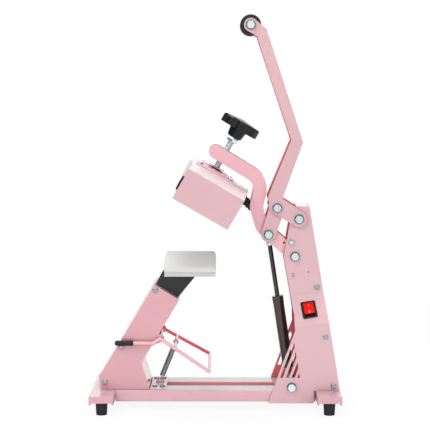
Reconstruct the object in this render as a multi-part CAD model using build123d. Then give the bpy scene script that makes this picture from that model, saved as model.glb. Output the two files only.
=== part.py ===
from build123d import *
import os
from math import asin, atan2, cos, degrees, hypot, radians, sin, sqrt, tan

# Cap heat press. +Z up, +X towards the column at the rear, operator at -X. The origin is on the
# table, midway between the two cross-members and in the press's plane of symmetry. Millimetres.

# ---------------------------------------------------------------- driving dimensions
# base
base_length = 432.0
cross_width = 42.0
cross_length = 210.0
cross_top = 34.0
cross_sheet = 3.0
cross_side_drop = 15.0
cross_end_drop = 12.0
rail_height = 20.0
rail_width = 40.0
rail_gap = 28.0
rail_wall = 2.0
foot_radius = 11.0
foot_bottom_radius = 9.2
foot_inset = 14.5
foot_recess_radius = 4.5
foot_recess_depth = 9.0
foot_screw_radius = 2.5

# column side plates, folded so that the head is narrow and the base is wide
column_sheet = 4.0
column_head_half = 29.0
column_top = 352.5
column_top_width = 34.0
column_lean = 9.48
column_bottom = 12.0
column_toe_x = 91.5
column_waist = (137.5, 139.0)
column_pivot_rim = 19.0
bend_tilt = 7.0
bend_low = 128.0
bend_rise = 49.5
bend_radius = 5.0
notch_clearance = 3.5
vent_count = 4
vent_pitch = 10.0
vent_width = 5.5
vent_bottom = 56.8
vent_first_x = 114.5
vent_top = 117.0
cover_sheet = 2.0
cover_inset = 2.0
cap_length = 21.0
tab_length = 14.0
tab_depth = 16.0
cover_screw_heights = (42.3, 128.6, 211.3)
clip_screw = (135.2, 230.8)
clip_hole = (135.0, 235.0)
clip_hole_radius = 1.3
rivet = (161.2, 237.4)
rivet_radius = 1.6
rivet_height = 0.6
clip_head_radius = 2.2
clip_head_height = 1.4
clip_shank_radius = 1.2

# pivots of the linkage, given in the plane of symmetry as (x, z)
arm_pivot = (138.0, 265.0)
lever_pivot = (144.5, 330.9)
lever_link_pivot = (106.6, 350.2)
link_arm_pivot = (91.9, 303.1)
gas_low_pivot = (132.0, 40.2)
pivot_radius = 4.0
running_gap = 0.05
open_pivot_gap = 1.3

# arm
arm_outer = 23.0
arm_sheet = 5.0
arm_width = 23.0
arm_tip = (-0.2, 446.9)
arm_elbow = (81.5, 397.1)
arm_waist = (70.4, 350.5)
arm_knee = (81.0, 315.5)
elbow_radius = 31.0
waist_radius = 20.0
knee_radius = 16.0
arm_hole_radius = 1.8
arm_hole = (118.9, 288.5)
stop_radius = 2.5
stop_along = 21.0
stop_gap = 0.3

# link and lever
link_sheet = 5.0
link_width = 26.0
side_gap = 1.0
lever_gap = 1.5
lever_sheet = 5.0
grip_centre = (60.2, 664.6)
grip_radius = 18.0
grip_end_radius = 11.8
grip_edge_radius = 3.0
lever_elbow = (150.6, 463.4)
lever_inner_elbow = (131.0, 467.2)
lever_shoulder = (86.5, 659.0)
lever_inner_shoulder = (71.8, 643.4)
lever_crotch = (115.7, 367.1)
lever_heel = (90.0, 368.0)
lever_toe = (95.5, 341.5)
lever_corners = (9, 3, 0, 11, 10, 8, 3)
lever_neck_radius = 9.5
lever_shin_rise = 17.0
lever_shin_radius = 14.5

# hexagon bolts with washers
hex_flats = 13.0
hex_height = 5.3
nut_height = 6.5
washer_radius = 8.3
washer_sheet = 1.5
small_head_radius = 4.4
small_head_height = 2.6
small_shank_radius = 2.4
thread_gap = 0.1

# heating head, set out level and then tilted with the open arm
head_tilt = 30.0
head_centre = (-26.2, 344.4)
head_half_length = 54.0
head_half_width = 87.0
head_side_height = 57.0
head_crest = 73.0
head_sheet = 1.5
head_lip = 3.0
screw_offset = -13.2
heater_crest = 22.0
heater_radius = 125.0
heater_thickness = 10.0
heater_half_length = 46.5
heater_half_chord = 70.0
heater_wall_gap = 4.0
insulation_thickness = 16.0
bracket_half_length = 36.0
bracket_half_width = 46.0
bracket_shift = 1.0
bracket_sheet = 2.5
keeper_half_length = 24.0
keeper_half_width = 14.0
keeper_foot = 10.0
keeper_sheet = 1.5
standoff_radius = 3.5
stud_depth = 5.0
stud_gap = 0.1
stud_head_radius = 4.5
stud_head_height = 2.6
standoff_x = 29.0
standoff_edge = 12.0
panel_width = 62.0
panel_height = 25.0
panel_low = 11.5
panel_thickness = 3.0
display_width = 26.0
display_height = 14.0
button_count = 3
button_radius = 2.8
button_pitch = 8.5
button_stand = 0.8
boot_radius = 8.0
boot_tip_radius = 7.0
boot_length = 26.0
boot_ribs = 4
boot_groove = 0.8
boot_lip = 0.4
boot_droop = 15.0
boot_root = 6.0
boot_height = 54.0
cable_radius = 3.4

# pressure screw and star knob
screw_radius = 5.5
collar_gap = 0.2
collar_radius = 9.0
collar_height = 1.5
block_half_length = 14.0
block_margin = 2.5
knob_radius = 35.0
knob_lobes = 7
knob_hollow_radius = 8.5
knob_hollow_depth = 5.0
knob_lobe_fillet = 5.5
knob_plate = 19.0
knob_dome = 3.5
knob_top_round = 4.5
knob_low_round = 1.5
knob_hub_radius = 13.0
knob_hub_top_radius = 15.5
knob_hub_length = 15.0
knob_bore_rise = 8.0
knob_turn = 6.0
knob_low = 139.0
jam_nut_flats = 19.0
jam_nut_height = 9.0

# gas spring
gas_tube_radius = 9.6
gas_tube_length = 129.5
gas_collar_radius = 10.0
gas_collar_height = 14.0
gas_tube_start = 24.0
gas_rod_radius = 4.0
gas_rod_buried = 60.0
gas_eye_radius = 8.5
gas_eye_width = 12.0
gas_neck_radius = 5.6

# pedestal
pedestal_outer = 48.0
pedestal_sheet = 3.0
pedestal_top_front = (-105.8, 217.8)
pedestal_top_rear = (-62.8, 191.6)
pedestal_waist = (-129.0, 80.5)
pedestal_rear_foot_x = -114.0
pedestal_front_knee = (-203.0, 57.0)
pedestal_front_foot_x = -199.7
pedestal_cover_sheet = 2.0
pedestal_flange = 12.0
pedestal_top_sheet = 4.0
pedestal_screws = ((-104.3, 208.6), (-164.0, 108.0), (-192.6, 46.5))

# lower platen
platen_gap = 3.7
pad_thickness = 8.0
saddle_thickness = 5.0
platen_half_length = 44.0
platen_half_chord = 66.0
cheek_half = 28.0
cheek_sheet = 4.0
cheek_top_half = 34.0
cheek_tuck = 8.0
cheek_setback = 3.0
web_sheet = 3.0
web_drop = 6.0
web_length = 20.0

# cap tensioner: a bent wire bail with a handle, pulled down by a spring
bail_pivot = (-96.0, 124.5)
bail_wire_radius = 3.0
bail_side_gap = 1.2
bail_ear_radius = 6.8
bail_reach = 100.0
bail_drop = 31.5
bail_splay = 27.0
bail_bar_along = 30.0
handle_height = 117.0
handle_side_gap = 3.1
handle_wire_end = -168.0
handle_grip_end = -174.5
handle_grip_start = -142.5
handle_grip_radius = 4.6
spring_radius = 5.0
spring_wire_radius = 0.8
spring_pitch = 2.4
spring_hook_length = 7.0
spring_loop = 3.4
anchor_x = (-113.5, -86.0)
anchor_sheet = 2.5
anchor_eye = (-98.0, 41.0)

# rocker switch on the sloping face of the column
switch_width = 25.5
switch_height = 31.0
switch_flange = 2.0
switch_turn = 3.0
switch_from_edge = 34.0
switch_body_depth = 16.0
switch_cut_margin = 1.6
rocker_width = 17.0
rocker_length = 23.5
rocker_angle = 7.0
rocker_gap = 0.35
rocker_pin_radius = 1.2
rocker_pin_end = 1.0

# cord gland on the rear cover
gland_rise = 62.0
gland_flange_radius = 10.0
gland_stand = 2.0
gland_rounding = 1.2
gland_body_radius = 7.5
gland_depth = 8.0
gland_nut_flats = 19.0
gland_nut_height = 4.0
gland_bore_radius = 4.0

# ---------------------------------------------------------------- values worked out from them
half_base = base_length / 2
cross_inner = half_base - cross_width
rail_inner = rail_gap / 2
rail_outer = rail_inner + rail_width
rail_low = cross_top - rail_height
column_base_half = rail_outer + column_sheet
column_right_top = arm_pivot[0] - 9.2 + column_top_width
column_left_top = column_right_top - column_top_width
arm_inner = arm_outer - arm_sheet
link_inner = arm_outer + side_gap
link_outer = link_inner + link_sheet
lever_inner = max(column_head_half, link_outer) + lever_gap
lever_outer = lever_inner + lever_sheet
column_head_inner = column_head_half - column_sheet
column_base_inner = column_base_half - column_sheet
screw_low = head_crest + bracket_sheet + collar_gap
head_frame = Location((head_centre[0], 0, head_centre[1]), (0, head_tilt, 0))
pedestal_inner = pedestal_outer - pedestal_sheet


# ---------------------------------------------------------------- helpers
def slab(sketch, y_low, y_high):
    """A sketch drawn in (x, z), thickened from y_low to y_high."""
    return extrude(Plane.XZ.offset(-y_high) * sketch, amount=y_high - y_low)


def rod_y(radius, at, y_low, y_high):
    """A round bar parallel to Y through the point at = (x, z)."""
    return Pos(at[0], (y_low + y_high) / 2, at[1]) * Rot(90, 0, 0) * Cylinder(radius, y_high - y_low)


def tube_y(outer, inner, at, y_low, y_high):
    return rod_y(outer, at, y_low, y_high) - rod_y(inner, at, y_low - 1, y_high + 1)


def outline(points):
    return make_face(Polyline(*points, close=True))


def rounded(points, radii):
    """A closed outline with its own fillet radius at each corner, zero for a sharp one."""
    face = outline(points)
    for point, radius in zip(points, radii):
        if radius > 0:
            corner = face.vertices().sort_by_distance((point[0], point[1], 0))[0]
            face = fillet(corner, radius)
    return face


def strip(points, thickness):
    """A bent strip of sheet: an open line and the same line moved to its right by thickness."""
    moved = []
    for i, (x, z) in enumerate(points):
        before = points[max(i - 1, 0)]
        after = points[min(i + 1, len(points) - 1)]
        first = (Vector(x, z) - Vector(*before)) if i else (Vector(*after) - Vector(x, z))
        second = (Vector(*after) - Vector(x, z)) if i < len(points) - 1 else first
        first, second = first.normalized(), second.normalized()
        middle = (Vector(first.Y, -first.X) + Vector(second.Y, -second.X)).normalized()
        reach = thickness / middle.dot(Vector(first.Y, -first.X))
        moved.append((x + middle.X * reach, z + middle.Y * reach))
    return outline(list(points) + moved[::-1])


def along(start, end, distance, side=0.0):
    """A point at a distance from start towards end, and side to the left of that line."""
    length = hypot(end[0] - start[0], end[1] - start[1])
    dx, dz = (end[0] - start[0]) / length, (end[1] - start[1]) / length
    return (start[0] + dx * distance - dz * side, start[1] + dz * distance + dx * side)


def round_hull(*rounds):
    """The outline that wraps circles given as ((x, z), radius)."""
    edges = []
    for place, radius in rounds:
        edges.extend((Pos(*place) * Circle(radius)).edges())
    return make_hull(edges)


def both_sides(shape):
    return [shape, mirror(shape, about=Plane.XZ)]


def group(*shapes):
    """Separate solids kept in one part."""
    solids = []
    for shape in shapes:
        if isinstance(shape, (list, tuple)):
            for one in shape:
                solids.extend(one.solids())
        else:
            solids.extend(shape.solids())
    return Compound(children=solids)


def hexagon(flats, height):
    """A hexagon standing on Z = 0 with its corners chamfered on top."""
    body = extrude(RegularPolygon(flats / 2, 6, major_radius=False), height)
    crown = Cylinder(flats / sqrt(3), height, align=(Align.CENTER, Align.CENTER, Align.MIN))
    rim = crown.faces().sort_by(Axis.Z)[-1].edges()
    return body & chamfer(rim, (flats / sqrt(3) - flats / 2) * 0.95)


def through_bolt(at, face):
    """A hexagon bolt along Y from the face at -face to +face, with washers and nut."""
    head = Pos(at[0], -face - washer_sheet, at[1]) * Rot(90, 0, 0) * hexagon(hex_flats, hex_height)
    shank = rod_y(pivot_radius, at, -face - washer_sheet, face + washer_sheet + nut_height + 2)
    washers = [tube_y(washer_radius, pivot_radius, at, -face - washer_sheet, -face),
               tube_y(washer_radius, pivot_radius, at, face, face + washer_sheet)]
    nut = Pos(at[0], face + washer_sheet, at[1]) * Rot(-90, 0, 0) * hexagon(hex_flats, nut_height)
    nut -= rod_y(pivot_radius, at, face, face + washer_sheet + nut_height + 3)
    return head + shank, washers + [nut]


def pan_screw(radius, head_radius, head_height, length):
    """A screw along -Z whose head stands on Z = 0."""
    head = Cylinder(head_radius, head_height, align=(Align.CENTER, Align.CENTER, Align.MIN))
    head = fillet(head.faces().sort_by(Axis.Z)[-1].edges(), head_height * 0.6)
    return head + Pos(0, 0, -length / 2) * Cylinder(radius, length)


def side_screws(places, face, screw):
    """The same screw into both outer faces of a pair of side plates at each place."""
    near = [Pos(x, -face, z) * Rot(90, 0, 0) * screw for x, z in places]
    return near + [mirror(one, about=Plane.XZ) for one in near]


# ---------------------------------------------------------------- base
def cross_member(centre_x):
    """A folded channel, open below, with shorter flanges at its ends."""
    body = Box(cross_width, cross_length, cross_side_drop, align=(Align.CENTER, Align.CENTER, Align.MAX))
    hollow = Box(cross_width - 2 * cross_sheet, cross_length - 2 * cross_sheet,
                 cross_side_drop - cross_sheet, align=(Align.CENTER, Align.CENTER, Align.MAX))
    body -= Pos(0, 0, -cross_sheet) * hollow
    step = Box(cross_width - 2 * cross_sheet, cross_length + 2, cross_side_drop - cross_end_drop,
               align=(Align.CENTER, Align.CENTER, Align.MIN))
    body -= Pos(0, 0, -cross_side_drop) * step
    body = fillet(body.edges().filter_by(Axis.Y).sort_by(Axis.Z)[-2:], 1.5)
    for side in (-1, 1):
        hole = Pos(0, side * (cross_length / 2 - foot_inset), -cross_sheet / 2)
        body -= hole * Cylinder(foot_screw_radius, cross_sheet + 2)
    return Pos(centre_x, 0, cross_top) * body


def rail(side):
    tube = Box(2 * cross_inner, rail_width, rail_height)
    tube = fillet(tube.edges().filter_by(Axis.X), 2.0)
    tube -= Box(2 * cross_inner, rail_width - 2 * rail_wall, rail_height - 2 * rail_wall)
    tube = Pos(0, side * (rail_inner + rail_width / 2), cross_top - rail_height / 2) * tube
    for x, y in anchor_screw_places():
        tube -= Pos(x, y, cross_top) * Cylinder(small_shank_radius, 3 * rail_wall)
    return tube


def foot(x, y):
    height = cross_top - cross_sheet
    profile = Polyline((foot_recess_radius, 0), (foot_bottom_radius, 0), (foot_radius, height),
                       (foot_screw_radius, height), (foot_screw_radius, foot_recess_depth),
                       (foot_recess_radius, foot_recess_depth), close=True)
    body = revolve(Plane.XZ * make_face(profile), Axis.Z)
    return Pos(x, y, 0) * body


def foot_screw(x, y):
    length = cross_top - foot_recess_depth
    return Pos(x, y, foot_recess_depth) * Rot(180, 0, 0) * pan_screw(
        foot_screw_radius - thread_gap, foot_recess_radius - 0.5, 3.0, length)


# ---------------------------------------------------------------- column
bend_along = Vector(cos(radians(bend_tilt)), 0, sin(radians(bend_tilt)))
bend_across = Vector(-sin(radians(bend_tilt)), 0, cos(radians(bend_tilt)))
bend_slope = atan2(column_base_half - column_head_half, bend_rise)


def column_edge_x(z):
    """The straight rear edge of the column at height z."""
    return column_right_top + (column_top - z) * tan(radians(column_lean))


def folded_sheet():
    """The near side sheet: wide below, sloping in, narrow above, long enough for the outline."""
    shift = column_sheet * tan(bend_slope / 2)
    high = bend_low + bend_rise
    top = column_top * 1.2
    profile = [(-column_base_half, -60), (-column_base_half, bend_low), (-column_head_half, high),
               (-column_head_half, top), (-column_head_inner, top), (-column_head_inner, high - shift),
               (-column_base_inner, bend_low - shift), (-column_base_inner, -60)]
    corners = [0, bend_radius + column_sheet, bend_radius, 0, 0, bend_radius + column_sheet, bend_radius, 0]
    section = Plane(origin=(0, 0, 0), x_dir=(0, 1, 0), z_dir=bend_along) * rounded(profile, corners)
    return extrude(section, amount=1.3 * half_base)


def column_outline():
    """Side view of a column plate, with a round rim about the arm's pivot."""
    toe = (column_toe_x, column_bottom)
    foot_rear = (cross_inner - notch_clearance, column_bottom)
    body = outline([(column_left_top, column_top), (column_right_top, column_top),
                    (column_edge_x(cross_top), cross_top), (foot_rear[0], cross_top),
                    foot_rear, toe, column_waist])
    upper = round_hull((arm_pivot, column_pivot_rim), ((column_left_top + 6, column_top - 6), 2))
    lower = round_hull((arm_pivot, column_pivot_rim), ((column_waist[0] + 5.5, column_waist[1]), 2))
    return body + upper + lower


def vents():
    """Slots parallel to the column's slanted toe edge, cut off along a steeper line."""
    lean = (column_waist[0] - column_toe_x) / (column_waist[1] - column_bottom)
    limit_top = vent_first_x + (vent_top - vent_bottom) * lean
    limit = outline([(0, vent_bottom), (0, vent_top), (limit_top, vent_top),
                     (limit_top + vent_pitch, vent_bottom)])
    slots = Sketch()
    for i in range(vent_count):
        x = vent_first_x + i * vent_pitch
        rise = vent_top - vent_bottom
        slot = outline([(x - vent_width / 2, vent_bottom), (x + vent_width / 2, vent_bottom),
                        (x + vent_width / 2 + rise * lean, vent_top),
                        (x - vent_width / 2 + rise * lean, vent_top)])
        slots += slot & limit
    return slots


def switch_plane():
    """A plane on the sloping outer face of the near side plate, with its X along the bends."""
    middle = bend_low + bend_rise / 2
    out = Vector(0, -cos(bend_slope), 0) + bend_across * sin(bend_slope)
    x = column_edge_x(middle) - switch_from_edge
    z = (middle + x * sin(radians(bend_tilt))) / cos(radians(bend_tilt))
    centre = Vector(x, -(column_base_half + column_head_half) / 2, z)
    turned = bend_along.rotate(Axis((0, 0, 0), out), switch_turn)
    return Plane(origin=centre, x_dir=turned, z_dir=out)


def column_plate():
    """The near side plate; the far one is its mirror image without the switch opening."""
    plate = folded_sheet() & slab(column_outline(), -2 * column_base_half, 0)
    plate -= slab(vents(), -2 * column_base_half, 0)
    for place in (arm_pivot, lever_pivot, gas_low_pivot):
        plate -= rod_y(pivot_radius, place, -2 * column_base_half, 0)
    plate -= rod_y(stop_radius, stop_place(), -2 * column_base_half, 0)
    for x, z in cover_screw_places():
        plate -= rod_y(small_shank_radius + thread_gap, (x, z), -2 * column_base_half, 0)
    for place in (clip_screw, rivet):
        plate -= rod_y(clip_shank_radius + thread_gap, place, -2 * column_base_half, 0)
    return plate - rod_y(clip_hole_radius, clip_hole, -2 * column_base_half, 0)


def switch_opening():
    margin = 2 * switch_cut_margin
    cut = Box(switch_width - margin, switch_height - margin, 4 * column_sheet)
    return switch_plane().location * cut


def cover_screw_places():
    return [(column_edge_x(z) - cover_inset - tab_depth / 2, z) for z in cover_screw_heights]


def column_outer_at(x, z):
    """Half width over the column's upright faces at a height above or below the folds."""
    level = bend_across.X * x + bend_across.Z * z
    return column_base_half if level < bend_low + bend_rise / 2 else column_head_half


def column_cover():
    """Rear cover between the side plates, with its top folded forward and tabs for the screws."""
    lean = radians(column_lean)
    length = (column_top - cross_top) / cos(lean)
    rear = Plane(origin=(column_edge_x(cross_top) - cover_inset, 0, cross_top), x_dir=(0, 1, 0),
                 z_dir=(cos(lean), 0, sin(lean)))

    def edge_length(level):
        """Length up the rear edge at which a bend line meets it."""
        x0, z0 = column_edge_x(cross_top), cross_top
        down = bend_across.X * x0 + bend_across.Z * z0
        step = -bend_across.X * sin(lean) + bend_across.Z * cos(lean)
        return (level - down) / step

    wide = column_base_inner - 0.2
    narrow = column_head_inner - 0.2
    low, high = edge_length(bend_low) - 4, edge_length(bend_low + bend_rise) - 4
    shape = outline([(-wide, 0.3), (wide, 0.3), (wide, low), (narrow, high), (narrow, length),
                     (-narrow, length), (-narrow, high), (-wide, low)])
    shape -= Pos(0, gland_rise) * Circle(gland_body_radius)
    cover = extrude(rear * shape, amount=-cover_sheet)
    top_x = column_right_top - cover_inset
    cap = Pos(top_x - cap_length / 2, 0, column_top - cover_sheet / 2) * Box(
        cap_length, 2 * narrow, cover_sheet)
    cover += cap
    for (x, z), half in zip(cover_screw_places(), (wide, wide, narrow)):
        tab = Pos(x, half - cover_sheet / 2, z) * Rot(0, -column_lean, 0) * Box(
            tab_depth, cover_sheet, tab_length)
        for piece in both_sides(tab):
            cover += piece
    for x, z in cover_screw_places():
        cover -= rod_y(small_shank_radius + thread_gap, (x, z), -2 * column_base_half, 2 * column_base_half)
    keep = slab(outline([(0, cross_top), (column_edge_x(cross_top), cross_top),
                         (column_right_top, column_top), (0, column_top)]), -base_length, base_length)
    return cover & keep


def column_spacers():
    """Sleeves that keep the side plates apart at the lever pivot and the gas spring."""
    pieces = [tube_y(7, pivot_radius, lever_pivot, -column_head_inner, column_head_inner)]
    start = gas_eye_width / 2 + 0.3
    pieces.append(tube_y(5.6, pivot_radius, gas_low_pivot, start, column_base_inner))
    pieces.append(tube_y(5.6, pivot_radius, gas_low_pivot, -column_base_inner, -start))
    for place, low, high in ((arm_pivot, arm_outer, column_head_inner),
                             (lever_pivot, column_head_half, lever_inner)):
        pieces += both_sides(tube_y(washer_radius, pivot_radius, place, low + 0.05, high - 0.05))
    return group(pieces)


def column_bolts():
    """Pivot bolts of the arm, the lever and the gas spring, held by the column."""
    pieces = []
    for place, face in ((arm_pivot, column_head_half), (lever_pivot, lever_outer + 0.1),
                        (gas_low_pivot, column_base_half)):
        bolt, loose = through_bolt(place, face)
        pieces.append(bolt)
        pieces.extend(loose)
    return group(pieces)


def stop_place():
    """The stop bolt touches the arm's upper edge when the press is open."""
    return along(arm_pivot, arm_knee, stop_along, -(arm_width / 2 + stop_radius + stop_gap))


def stop_bolt():
    at = stop_place()
    shank = rod_y(stop_radius, at, -column_head_half, column_head_half)
    heads = [Pos(at[0], -column_head_half, at[1]) * Rot(90, 0, 0) * hexagon(8, 3.5),
             Pos(at[0], column_head_half, at[1]) * Rot(-90, 0, 0) * hexagon(8, 3.5)]
    return shank + heads[0] + heads[1]


# ---------------------------------------------------------------- rocker switch and inlet
def switch_housing():
    """A flanged bezel with a well for the rocker, clipped through the side plate."""
    flange = extrude(RectangleRounded(switch_width, switch_height, 2.0), switch_flange)
    flange = chamfer(flange.faces().sort_by(Axis.Z)[-1].edges(), 0.8)
    margin = 2 * switch_cut_margin + 0.6
    body = Pos(0, 0, -switch_body_depth / 2) * Box(switch_width - margin, switch_height - margin,
                                                   switch_body_depth)
    well = Pos(0, 0, switch_flange) * Box(rocker_width + 2 * rocker_gap, rocker_length + 2 * rocker_gap, 18)
    return switch_plane().location * (flange + body - well - rocker_pin(running_gap))


def rocker_pin(gap):
    """The pin that the rocker tips on, larger by gap for its holes in the housing."""
    return Rot(0, 90, 0) * Cylinder(rocker_pin_radius + gap,
                                    rocker_width + 2 * (rocker_gap + rocker_pin_end + gap))


def rocker():
    """A rocker bent in the middle, tipped to off, on a pin across the switch."""
    half = rocker_length / 2 - 1.2
    rise = tan(radians(rocker_angle)) * half
    top = switch_flange + 2.2
    side = outline([(-half, top + rise), (0, top), (half, top + rise), (half * 0.7, -1.0),
                    (0, -4.5), (-half * 0.7, -1.0)])
    body = extrude(Plane.YZ * side, amount=rocker_width / 2, both=True)
    tipped = Rot(-rocker_angle, 0, 0) * (body + rocker_pin(0))
    return switch_plane().location * tipped


def gland_plane():
    """A plane on the rear face of the column cover, with its normal to the rear."""
    lean = radians(column_lean)
    x = column_edge_x(cross_top) - cover_inset - gland_rise * sin(lean)
    z = cross_top + gland_rise * cos(lean)
    return Plane(origin=(x, 0, z), x_dir=(0, 1, 0), z_dir=(cos(lean), 0, sin(lean)))


def cord_gland():
    """Bushing that leads the mains cord through the rear cover, held by a nut inside."""
    flange = Cylinder(gland_flange_radius, gland_stand, align=(Align.CENTER, Align.CENTER, Align.MIN))
    flange = fillet(flange.faces().sort_by(Axis.Z)[-1].edges(), gland_rounding)
    barrel = Cylinder(gland_body_radius, gland_depth, align=(Align.CENTER, Align.CENTER, Align.MAX))
    bushing = flange + barrel - Cylinder(gland_bore_radius, 4 * gland_depth)
    nut = Pos(0, 0, -cover_sheet) * Rot(180, 0, 0) * hexagon(gland_nut_flats, gland_nut_height)
    nut -= Cylinder(gland_body_radius, 4 * gland_depth)
    return gland_plane().location * group(bushing, nut)


# ---------------------------------------------------------------- arm and link
def arm_outline():
    """A constant-width bar that follows one bent centre line, with round ends."""
    route = FilletPolyline(arm_tip, arm_elbow, arm_waist, arm_knee, arm_pivot,
                           radius=(elbow_radius, waist_radius, knee_radius))
    body = trace(route, line_width=arm_width)
    for end in (arm_tip, arm_pivot):
        body += Pos(*end) * Circle(arm_width / 2)
    return body


def arm_plate():
    plate = slab(arm_outline(), -arm_outer, -arm_inner)
    plate -= rod_y(pivot_radius + running_gap, arm_pivot, -arm_outer - 1, 0)
    plate -= rod_y(pivot_radius, link_arm_pivot, -arm_outer - 1, 0)
    return plate - rod_y(arm_hole_radius, arm_hole, -arm_outer - 1, 0)


def screw_axis_point(height):
    """A point of the pressure screw's axis, height above the heating head's lower edge."""
    return (head_frame * Pos(screw_offset, 0, height)).position


def block_height():
    """Height at which the pressure screw crosses the arm's centre line."""
    tilt = radians(head_tilt)
    base = screw_axis_point(0)
    slope = (arm_elbow[1] - arm_tip[1]) / (arm_elbow[0] - arm_tip[0])
    rise = arm_tip[1] + slope * (base.X - arm_tip[0]) - base.Z
    return rise / (cos(tilt) - slope * sin(tilt))


def screw_block():
    """The threaded block between the arm plates that the pressure screw runs in."""
    block = Box(2 * block_half_length, 2 * arm_inner, arm_width - 2 * block_margin)
    block -= Cylinder(screw_radius + running_gap, arm_width)
    return head_frame * Pos(screw_offset, 0, block_height()) * block


def arm_sleeve():
    return tube_y(8, pivot_radius + running_gap, arm_pivot, -arm_inner, arm_inner)


def arm_spacers():
    """Sleeves on the link bolt either side of the gas spring's eye, and washers beside the links."""
    start = gas_eye_width / 2 + 0.3
    sleeve = tube_y(7.5, pivot_radius, link_arm_pivot, start, arm_inner)
    washer = tube_y(washer_radius, pivot_radius, link_arm_pivot, arm_outer, link_inner - 0.05)
    return group(both_sides(sleeve), both_sides(washer))


def link_plate():
    body = round_hull((lever_link_pivot, link_width / 2), (link_arm_pivot, link_width / 2))
    plate = slab(body, -link_outer, -link_inner)
    plate -= rod_y(pivot_radius + open_pivot_gap, lever_link_pivot, -link_outer - 1, 0)
    return plate - rod_y(pivot_radius + running_gap, link_arm_pivot, -link_outer - 1, 0)


# ---------------------------------------------------------------- lever
def lever_plate():
    """Cranked lever plate: a boss about the two pivots, a straight handle and a turned-over tip."""
    handle = rounded([lever_shoulder, lever_elbow, lever_crotch, lever_toe, lever_heel,
                      lever_inner_elbow, lever_inner_shoulder], lever_corners)
    neck = along(lever_shoulder, lever_inner_shoulder, lever_neck_radius + 1)
    tip = round_hull((grip_centre, grip_end_radius), (neck, lever_neck_radius))
    shin = along(lever_toe, lever_crotch, lever_shin_rise)
    boss = round_hull((lever_pivot, link_width / 2 + 1), (shin, lever_shin_radius))
    plate = slab(handle + tip + boss, -lever_outer, -lever_inner)
    plate -= rod_y(pivot_radius + running_gap, lever_pivot, -lever_outer - 1, 0)
    plate -= rod_y(pivot_radius, lever_link_pivot, -lever_outer - 1, 0)
    return plate - rod_y(pivot_radius, grip_centre, -lever_outer - 1, 0)


def grip():
    """A ribbed rubber roller between the ends of the lever plates."""
    body = rod_y(grip_radius, grip_centre, -lever_inner, lever_inner)
    body = fillet(body.edges().filter_by(GeomType.CIRCLE), grip_edge_radius)
    return body - rod_y(pivot_radius, grip_centre, -lever_outer, lever_outer)


def lever_bolts():
    """Bolts of the link and the grip, held by the lever."""
    pieces = []
    for place in (lever_link_pivot, grip_centre):
        bolt, loose = through_bolt(place, lever_outer)
        pieces.append(bolt)
        pieces.extend(loose)
    return group(pieces)


def link_bolt():
    bolt, loose = through_bolt(link_arm_pivot, link_outer + 0.1)
    return group(bolt, loose)


def link_bolt_sleeve():
    half = link_inner - 0.5
    return tube_y(6.5, pivot_radius, lever_link_pivot, -half, half)


# ---------------------------------------------------------------- heating head
def arch(radius, crest, half_chord):
    """Points of an arch in (y, z): its left end, crest and right end."""
    end = crest - radius + sqrt(radius ** 2 - half_chord ** 2)
    return (-half_chord, end), (0, crest), (half_chord, end)


def arch_band(low, high):
    """The face between two arches, each given by its points."""
    return make_face(ThreePointArc(*low) + Line(low[2], high[2])
                     + ThreePointArc(high[2], high[1], high[0]) + Line(high[0], low[0]))


def cover_radius():
    """Radius of the arched top of the head."""
    rise = head_crest - head_side_height
    return (head_half_width ** 2 + rise ** 2) / (2 * rise)


def head_profile(margin):
    """End view of the head: upright sides and an arched top, all inset by margin."""
    half = head_half_width - margin
    left, crest, right = arch(cover_radius() - margin, head_crest - margin, half)
    sides = Polyline(left, (-half, 0), (half, 0), right)
    return make_face(sides + ThreePointArc(left, crest, right))


def head_cover():
    """One sheet folded over the head: both sides and the arched top."""
    outer = extrude(Plane.YZ * head_profile(0), amount=head_half_length, both=True)
    inner = extrude(Plane.YZ * head_profile(head_sheet), amount=head_half_length + 1, both=True)
    foot_cut = Pos(0, 0, head_sheet / 2) * Box(3 * head_half_length, 2 * (head_half_width - head_sheet),
                                               head_sheet + 0.01)
    cover = outer - inner - foot_cut
    for x, y in standoff_places():
        cover -= Pos(x, y, head_crest) * Cylinder(standoff_radius, 30)
    return head_frame * cover


def head_end(side):
    """An end panel that closes the head, with the arched outline."""
    sheet = extrude(Plane.YZ * head_profile(head_sheet + 0.1), amount=head_sheet)
    x = side * (head_half_length - head_sheet / 2) - head_sheet / 2
    panel = Pos(x, 0, 0) * sheet
    panel -= Pos(x, 0, heater_crest - heater_radius) * Rot(0, 90, 0) * Cylinder(
        heater_radius - head_lip, 10)
    if side > 0:
        panel -= boot_place() * Cylinder(cable_radius, boot_length)
    return head_frame * panel


def boot_place():
    """Seat of the strain relief on the rear end, with Z along the leads, which leave downwards."""
    return Pos(head_half_length, 0, boot_height) * Rot(0, 90 + boot_droop, 0)


def standoff_places():
    middle = screw_offset + bracket_shift
    half = bracket_half_width - standoff_edge
    return [(middle + sx * standoff_x, sy * half) for sx in (-1, 1) for sy in (-1, 1)]


def heater_top(y):
    """Height of the heater's upper face at y."""
    radius = heater_radius + heater_thickness
    return heater_crest + heater_thickness - radius + sqrt(radius ** 2 - y ** 2)


def saddle_top(y):
    """Height of the bracket's upper face at y."""
    radius = cover_radius() + bracket_sheet
    return head_crest + bracket_sheet - radius + sqrt(radius ** 2 - y ** 2)


def stud_seat(y):
    """Height of the flat under a stud's head, cut into the curved bracket."""
    return saddle_top(abs(y) + stud_head_radius)


def heater():
    """Cast heating platen with a concave working face that wraps the crown of a cap."""
    low = arch(heater_radius, heater_crest, heater_half_chord)
    high = arch(heater_radius + heater_thickness, heater_crest + heater_thickness, heater_half_chord)
    body = extrude(Plane.YZ * arch_band(low, high), amount=heater_half_length, both=True)
    for x, y in standoff_places():
        body -= Pos(x, y, heater_top(y)) * Cylinder(standoff_radius, 2 * stud_depth)
    return head_frame * body


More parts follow.
